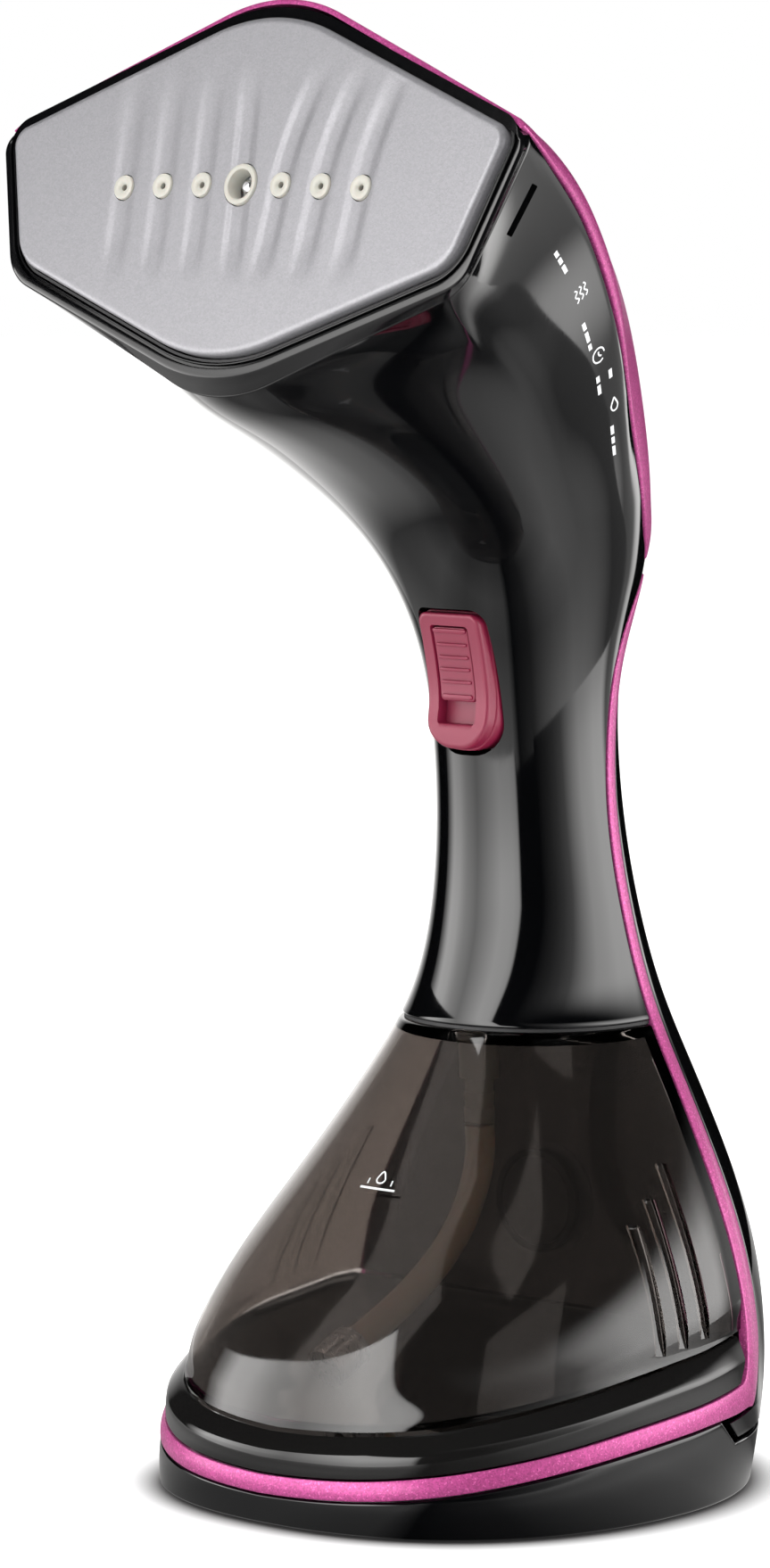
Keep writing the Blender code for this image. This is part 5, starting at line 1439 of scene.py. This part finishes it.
@dataclass
class TriggerGroup:
    """Magenta trigger with a sliding lock, its pin, spring, plunger and switch."""

    top: float = 172.3
    foot: float = 144.6
    half: float = 8.2
    proud: float = 4.0
    pocket_floor: float = 1.4
    slider_back: float = 3.0
    slider_face: float = 3.8
    slider_half: float = 4.5
    slider_top: float = 169.0
    slider_foot: float = 154.4
    plunger_z: float = 150.5
    plunger_end: float = 8.6
    finger_curve: Pairs = ((144.6, 0.6), (149.0, 1.6), (152.0, 2.9), (155.0, 3.8), (160.0, 4.4), (168.0, 4.5),
                           (172.3, 4.2))
    ribs: tuple[float, ...] = (168.35, 165.6, 163.1, 160.7, 158.2, 155.3)
    tilt: float = field(init=False)
    root: float = field(init=False)

    def __post_init__(self) -> None:
        """Reads the handle's front where the trigger sits."""
        self.root = SKIN.front_y(self.foot)
        self.tilt = (SKIN.front_y(self.top) - self.root) / (self.top - self.foot)

    def depth(self, z: Any, proud: float) -> Points:
        """Depth of the trigger's face, hollowed for a finger."""
        return self.root + self.tilt * (z - self.foot) - proud + table(self.finger_curve, z)

    def ring(self, line: Points, proud: float) -> Points:
        """Outline (x, z) laid at a depth."""
        return np.stack([line[:, 0], self.depth(line[:, 1], proud), line[:, 1]], -1)

    def build(self) -> None:
        """Makes the trigger's pieces."""
        p, rings = self.proud, []
        for proud, shrink in ((-3.4, 0.0), (p - 3.0, 0.0), (p - 2.75, 0.05), (p - 2.62, 0.16), (p - 2.6, 0.34),
                              (p - 2.45, 0.4), (p - 1.1, 0.42), (p - 0.55, 0.48), (p - 0.22, 0.66), (p - 0.05, 0.95),
                              (p, 1.3), (p - 0.03, 1.6)):
            line = rounded_bar(self.half - shrink, self.top - shrink, self.foot + shrink,
                               2.4 - shrink * 0.5, 6.9 - shrink)
            rings.append(self.ring(line, proud))
        pocket = rounded_bar(4.8, 169.3, 149.9, 0.8, 0.8)
        for t in (0.35, 0.7, 0.96):
            rings.append(self.ring(line * (1 - t) + pocket * t, p))
        rings += [self.ring(pocket, p - 0.12), self.ring(pocket, self.pocket_floor)]
        hollow = rounded_bar(self.half - 1.4, self.top - 1.6, self.foot + 1.6, 1.6, 5.2)
        Piece("trigger_body", Body.TRIGGER, TRIGGER_RED, ("trigger",), "magenta_plastic", 42).from_shape(
            lofted(rings, rungs=True), lofted([self.ring(hollow, n) for n in (0.5, -6.0)], rungs=True))
        rings, face = [], self.slider_face
        for proud, shrink in ((self.slider_back, 0.0), (face - 0.3, 0.0), (face - 0.1, 0.08), (face, 0.28),
                              (face, 0.8)):
            line = rounded_bar(self.slider_half - shrink, self.slider_top - shrink, self.slider_foot + shrink,
                               1.0 - shrink, 1.0 - shrink)
            rings.append(self.ring(line, proud))
        Piece("lock_slider", Body.LOCK, TRIGGER_RED, ("trigger_lock",), "magenta_plastic", 42).from_shape(
            lofted(rings, rungs=True))
        bar = rounded_bar(3.85, 0.36, -0.36, 0.34, 0.34, 6, 6)
        rib = lofted([[(x * g, y, z * g) for x, z in bar]
                      for y, g in ((0.3, 1.0), (-0.18, 1.0), (-0.32, 0.95), (-0.38, 0.8))])
        places = [(0, float(self.depth(z, face + 0.05)), z) for z in self.ribs]
        sizes = [(1.1 if k == 0 else 1.0, 1.0, 1.25 if k in (0, 5) else 0.9) for k in range(6)]
        spread(Piece("lock_ribs", Body.LOCK, TRIGGER_RED, (), "magenta_plastic", 42), rib, places,
               [(math.atan(float(self.depth(z - 1, 0) - self.depth(z + 1, 0)) / 2), 0, 0) for z in self.ribs], sizes)
        dress(STEEL, "trigger_pin", "trigger_spring")
        z = self.plunger_z
        tip = float(self.depth(z, 0.0)) - float(table(self.finger_curve, z)) + 2.65
        long = self.plunger_end - tip
        Piece("plunger_pin", Body.PLUNGER, IVORY, ("switch_plunger",), "nozzle_ivory", 30).from_shape(
            lathed((0, tip, z), (0, 1, 0), ((0.2, 0), (0.9, 0), (1.3, 0.4), (1.3, long), (0.2, long)), 32))
        dress(INNER, "trigger_switch")


# ---------------------------------------------------------------- printed marks and hidden works


@dataclass
class PrintedMarks:
    """Plain printed signs: a level line on the tank, and signs for steam, time and scale on the head's side."""

    line_wide: float = 0.42
    lift: float = 0.03

    def stroke(self, path: Any, u0: float, angle0: float, wide: Optional[float] = None, spin: float = 0.0) -> Shape:
        """Thin line laid on the body.

        Args:
            path: its points (right, up) in millimetres from the sign's middle.
            u0: station of the sign's middle.
            angle0: angle of the sign's middle.
            wide: line width.
            spin: turn of the sign, in degrees.

        Returns:
            A closed shape.
        """
        path = np.asarray(path, float)
        if len(path) > 2:
            path = spline(np.arange(len(path)), path, np.linspace(0, len(path) - 1, 6 * len(path)))
        else:
            path = path[0] + np.linspace(0, 1, 8)[:, None] * (path[1] - path[0])
        along = unit(np.gradient(path, axis=0))
        side = np.stack([-along[:, 1], along[:, 0]], -1) * (wide or self.line_wide) / 2
        flat = np.stack([path - side, path, path + side], 0)
        c, s = math.cos(math.radians(spin)), math.sin(math.radians(spin))
        x, y = flat[..., 0] * c - flat[..., 1] * s, flat[..., 0] * s + flat[..., 1] * c
        u = u0 + y * float(SKIN.per_station(u0, angle0, 1.0))
        angle = angle0 + x * float(SKIN.per_angle(u0, angle0, 1.0))
        return rolled(SKIN.at(u, angle, -self.lift), SKIN.at(u, angle, 0.06), 0.012, steps=1)

    def build(self) -> None:
        """Lays all the signs."""
        level = (self.stroke([(-5.1, 0), (5.1, 0)], 4.04, -90.5, 0.45)
                 + self.stroke([(-1.1, 1.5), (-0.7, 0.95), (0, 0.75), (0.7, 0.95), (1.1, 1.5), (0.9, 2.1), (0, 3.3),
                                (-0.9, 2.1), (-1.1, 1.5)], 4.06, -90.5, 0.32)
                 + self.stroke([(-3.4, 0.9), (-3.4, 2.1)], 4.04, -90.5, 0.35)
                 + self.stroke([(3.4, 0.9), (3.4, 2.1)], 4.04, -90.5, 0.35))
        Piece("level_mark", Body.TANK, INK, (), None).from_shape(level)
        wave = [(-0.5, -1.6), (0.2, -0.8), (-0.4, 0.1), (0.3, 0.9), (-0.1, 1.7)]
        ring = [(1.7 * math.cos(a), 1.7 * math.sin(a)) for a in np.linspace(0, 1.7 * math.pi, 12)]
        drop = [(0, 1.9), (-0.8, 0.5), (-1.0, -0.4), (-0.5, -1.2), (0.5, -1.2), (1.0, -0.4), (0.8, 0.5), (0, 1.9)]
        signs = Shape(np.zeros((0, 3)), [])

        def bars(u: float, angle: float, lengths: Sequence[float], drift: float) -> Shape:
            """Short dashes in a row down the side, in place of wording."""
            out, at = Shape(np.zeros((0, 3)), []), 0.0
            for length in lengths:
                out = out + self.stroke([(drift * at, -at), (drift * (at + length), -at - length)], u, angle, 1.0)
                at += length + 0.7
            return out

        signs = signs + bars(14.22, 0.0, (1.7, 1.7, 2.2), 0.0)
        for dx in (-1.3, 0.0, 1.3):
            signs = signs + self.stroke([(x + dx, y) for x, y in wave], 13.55, 1.0, 0.34)
        signs = signs + bars(13.25, -0.9, (1.9, 2.6, 1.5), 0.0)
        hands = [(0, 0.9), (0, 0), (0.7, -0.5)]
        signs = signs + self.stroke(ring, 12.82, 0.8, 0.38) + self.stroke(hands, 12.82, 0.8, 0.38)
        signs = signs + bars(12.62, -0.4, (1.6, 2.4), 0.0) + bars(12.60, 3.4, (2.2,), 0.0)
        signs = signs + self.stroke(drop, 12.22, 3.9, 0.38) + bars(12.02, 2.4, (2.1, 1.6, 2.4), 0.0)
        Piece("side_signs", Body.MAIN, INK, (), None).from_shape(signs)


@dataclass
class HiddenWorks:
    """Dock, pump, hoses and board, which show when the tank is drawn out or through its wall."""

    mouldings: tuple[str, ...] = ("tank_deck", "dock_wall", "dock_ceiling", "water_pump")
    hoses: tuple[str, ...] = ("pump_hose_low", "pump_hose_high")

    def build(self) -> None:
        """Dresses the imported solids."""
        dress(INNER, *self.mouldings)
        dress(RUBBER, "outlet_seal")
        dress(TUBE, *self.hoses)
        dress(BOARD, "control_board")


# ---------------------------------------------------------------- studio


class LightPanel(Enum):
    """Soft boxes round the object.

    Each has its left and right edge at table height, how far both edges swing left by 0.4 m higher up, its
    top edge at the left and at the right, its brightness, and its share of that from left to right.
    Directions are in degrees from the front, positive to the right; heights in metres.
    """

    LEFT = (-80.0, 26.0, (-6.0, -34.0), (0.20, 0.68), 6.6,
            ((0.0, 0.0), (0.06, 0.25), (0.14, 0.8), (0.24, 0.85), (0.34, 0.6), (0.46, 0.42), (0.6, 0.7), (0.75, 1.0),
             (0.9, 0.95), (0.97, 0.8), (1.0, 0.0)))
    RIGHT = (52.0, 178.0, (-38.0, 0.0), (0.66, 0.19), 5.6,
             ((0.0, 0.0), (0.13, 0.05), (0.21, 0.1), (0.3, 0.2), (0.4, 0.6), (0.5, 0.95), (0.67, 1.0), (0.78, 0.8),
              (0.84, 0.14), (0.92, 0.16), (0.95, 0.6), (0.985, 0.65), (1.0, 0.3)))
    BACK = (205.0, 258.0, (0.0, 0.0), (0.60, 0.60), 1.7, ((0.0, 0.0), (0.3, 0.9), (0.6, 1.0), (1.0, 0.0)))


@dataclass
class Studio:
    """Pale floor with a painted contact shadow, soft light and the camera."""

    room: float = 0.52
    shadow_reach: float = 12.0
    shadow_depth: float = 0.9
    middle: tuple[float, float, float] = (0.0, -0.0209, 0.1397)
    turn: float = 42.0
    rise: float = 5.63
    away: float = 1.175
    lens: float = 139.6

    def build(self) -> None:
        """Sets the floor, the light and the camera."""
        bpy.context.scene.view_settings.view_transform = "Standard"
        self.floor()
        self.sky()
        self.dark_room()
        for panel in LightPanel:
            self.panel(panel)
        self.overhead()
        self.camera()

    def floor(self) -> None:
        """Matt off-white floor with a painted contact shadow: its colour and glow turn dark where the foot rests on it.
        """
        turn = np.linspace(-180, 180, 181)[:-1]
        edge = SKIN.bare(0.15, turn)
        edge[:, 2] = 0
        out = unit(edge - edge.mean(0))
        reach = np.array([-20, -4, -1, 0, 1, 2, 3, 4.5, 6, 8, 10, 13, 18, 60, 9000.0])
        rings = edge[None] + out[None] * reach[:, None, None] + np.array([0, SHIFT_Y, 0])
        # weight of the painted contact shadow: one at the foot's edge, falling to none at shadow_reach
        painted_shadow_fade = 1 - smooth_step(np.maximum(reach, 0) / self.shadow_reach) ** 0.5
        near = np.broadcast_to(painted_shadow_fade[:, None], rings.shape[:2])
        shape = rings.reshape(-1, 3) * 0.001
        mesh = bpy.data.meshes.new("studio_floor")
        faces = [face[::-1] for face in grid_faces(len(reach), len(turn), 0, True)]
        mesh.from_pydata([tuple(map(float, p)) for p in shape], [], [list(range(len(turn)))] + faces)
        mesh.attributes.new("near", "FLOAT", "POINT").data.foreach_set("value", near.ravel().astype(np.float32))
        work = bmesh.new()
        work.from_mesh(mesh)
        for face in work.faces:
            if face.normal.z < 0:
                face.normal_flip()
        work.to_mesh(mesh)
        work.free()
        thing = bpy.data.objects.new("studio_floor", mesh)
        bpy.context.scene.collection.objects.link(thing)
        material = bpy.data.materials.new("pale_floor")
        material.use_nodes = True
        tree = ShaderTree(material.node_tree)
        # painted contact shadow: near the foot the floor's colour is mixed towards dark and its glow is taken away
        painted_shadow_share = tree.node("ShaderNodeAttribute", {"attribute_name": "near"}, {}, "Fac") * self.shadow_depth
        pale = tree.mix(tree.noise(6, 3), (0.93, 0.93, 0.93, 1), (0.96, 0.96, 0.96, 1))
        shader = tree.node("ShaderNodeBsdfPrincipled", {}, {
            "Base Color": tree.mix(painted_shadow_share, pale, (0.05, 0.045, 0.045, 1)), "Roughness": 0.9,
            "Specular IOR Level": 0.1, "Emission Color": tree.mix(painted_shadow_share, (1, 1, 1, 1), (0, 0, 0, 1)),
            "Emission Strength": 0.16})
        tree.node("ShaderNodeOutputMaterial", {}, {"Surface": shader})
        mesh.materials.append(material)
        thing.visible_glossy = False

    def sky(self) -> None:
        """Even white surround."""
        world = bpy.data.worlds.new("white_surround")
        bpy.context.scene.world = world
        world.use_nodes = True
        world.node_tree.nodes["Background"].inputs[0].default_value = (1.0, 1.0, 1.0, 1.0)
        world.node_tree.nodes["Background"].inputs[1].default_value = 1.0

    def glow(self, name: str, strength: float) -> bpy.types.Material:
        """Light-giving material, fading by the mesh's own glow attribute."""
        material = bpy.data.materials.new(name)
        material.use_nodes = True
        tree = ShaderTree(material.node_tree)
        share = tree.node("ShaderNodeAttribute", {"attribute_name": "glow"}, {}, "Fac") * strength
        shader = tree.node("ShaderNodeEmission", {}, {"Color": (1, 0.99, 0.98, 1), "Strength": share})
        tree.node("ShaderNodeOutputMaterial", {}, {"Surface": shader})
        return material

    def card(self, name: str, turn: Points, radius: Points, z: Points, glow: Points, strength: float) -> None:
        """Studio wall seen in polish only.

        Args:
            name: of the object.
            turn: direction of each point of a grid, in degrees from the front.
            radius: their distance from the middle, in metres.
            z: their height.
            glow: their share of the brightness.
            strength: brightness.
        """
        turn, radius, z, glow = np.broadcast_arrays(np.radians(turn), radius, z, glow)
        grid = np.stack([radius * np.sin(turn), -radius * np.cos(turn), z], -1)
        mesh = bpy.data.meshes.new(name)
        mesh.from_pydata([tuple(map(float, p)) for p in grid.reshape(-1, 3)], [], grid_faces(*turn.shape))
        mesh.attributes.new("glow", "FLOAT", "POINT").data.foreach_set("value", glow.ravel().astype(np.float32))
        mesh.materials.append(self.glow(name, strength))
        mesh.shade_smooth()
        thing = bpy.data.objects.new(name, mesh)
        bpy.context.scene.collection.objects.link(thing)
        for kind in ("camera", "diffuse", "transmission", "volume_scatter", "shadow"):
            setattr(thing, f"visible_{kind}", False)

    def dark_room(self) -> None:
        """Black drum that keeps the polish deep between the soft boxes, and the table's own shine by direction."""
        turn = np.linspace(0, 360, 145)[None]
        high = np.array([-0.02, 0.5, 1.0, 1.3, 1.45, 1.5])[:, None]
        radius = np.array([1.0, 1.0, 1.0, 0.8, 0.45, 0.001])[:, None] * (self.room + 0.06)
        self.card("studio_drum", turn, radius, high, np.ones_like(turn), 0.004)
        turn = np.linspace(-100, 260, 181)[None]
        bright = np.interp(turn, (-100, -86, -60, -30, 0, 24, 32, 55, 90, 110, 125, 136, 144, 150, 160, 164, 168, 173,
                                  179, 186, 200, 230, 260),
                           (0.2, 0.35, 0.65, 0.5, 0.7, 0.6, 0.02, 0.15, 0.9, 1.2, 1.0, 0.7, 0.4, 0.15, 0.13, 0.25, 0.75,
                            0.95, 0.5, 0.15, 0.3, 0.9, 0.2))
        radius = np.array([0.001, 0.05, 0.08, 0.12, 0.2, 0.35, self.room + 0.07])[:, None]
        glow = bright * np.interp(radius, (0.0, 0.07, 0.12, 0.2, 0.35, 0.6), (0.4, 0.7, 1.3, 1.2, 1.9, 2.8))
        self.card("studio_table_shine", turn, radius, np.full_like(radius, 0.0004), glow, 0.9)

    def panel(self, panel: LightPanel) -> None:
        """Upright curved soft box."""
        left, right, swing, tops, strength, profile = panel.value
        share = np.linspace(0, 1, 91)[None]
        rise = np.linspace(0, 1, 41)[:, None]
        z = -0.004 + rise * (tops[0] + (tops[1] - tops[0]) * share)
        lean = np.clip((z - 0.15) / 0.4, 0, 1.3)
        low, high = left + swing[0] * lean, right + swing[1] * lean
        turn = low + (high - low) * share
        top_soft = 1.0 if panel is LightPanel.LEFT else smooth_step((1 - rise) / 0.35)
        glow = np.interp(share, *zip(*profile)) * (0.65 + 0.35 * smooth_step(z / 0.12)) * top_soft
        self.card("soft_box_" + panel.name.lower(), turn, self.room, z, glow, strength)

    def overhead(self) -> None:
        """Broad lights that give the painted and matt parts their shading and whiten the floor."""
        for name, place, size, power in (("key", (-0.9, -1.2, 1.7), 1.2, 16.0), ("fill", (1.3, -0.7, 1.2), 1.0, 7.0),
                                         ("top", (0.0, 0.1, 2.4), 2.2, 42.0)):
            light = bpy.data.lights.new(name, "AREA")
            light.shape, light.size, light.energy = "SQUARE", size, power
            thing = bpy.data.objects.new(name, light)
            thing.location = place
            thing.rotation_mode = "QUATERNION"
            thing.rotation_quaternion = (Vector((0, 0, 0.12)) - Vector(place)).to_track_quat("-Z", "Y")
            thing.visible_glossy = False
            thing.visible_camera = False
            bpy.context.scene.collection.objects.link(thing)

    def camera(self) -> None:
        """Camera to the right of the front, a little above the handle's middle."""
        low, high = CAD_BOX
        turn, rise = math.radians(self.turn), math.radians(self.rise)
        back = Vector((math.sin(turn) * math.cos(rise), -math.cos(turn) * math.cos(rise), math.sin(rise)))
        data = bpy.data.cameras.new("camera")
        data.lens, data.sensor_width = self.lens, 36.0
        data.clip_start, data.clip_end = 0.05, 50.0
        thing = bpy.data.objects.new("camera", data)
        thing.location = Vector(self.middle) + back * self.away
        thing.rotation_mode = "QUATERNION"
        thing.rotation_quaternion = (-back).to_track_quat("-Z", "Y")
        bpy.context.scene.collection.objects.link(thing)
        bpy.context.scene.camera = thing
        LOG.info("camera set for a model %.3f m tall", high.z - low.z)


def main() -> None:
    """Builds every sub-assembly in order."""
    logging.basicConfig(level=logging.INFO, format="%(name)s: %(message)s")
    for part in (HandleShells(), TrimBand(), Foot(), SteamHead(), WaterTank(), TriggerGroup(), PrintedMarks(),
                 HiddenWorks(), Studio()):
        LOG.info("building %s", type(part).__name__)
        part.build()


if __name__ == "__main__":
    main()
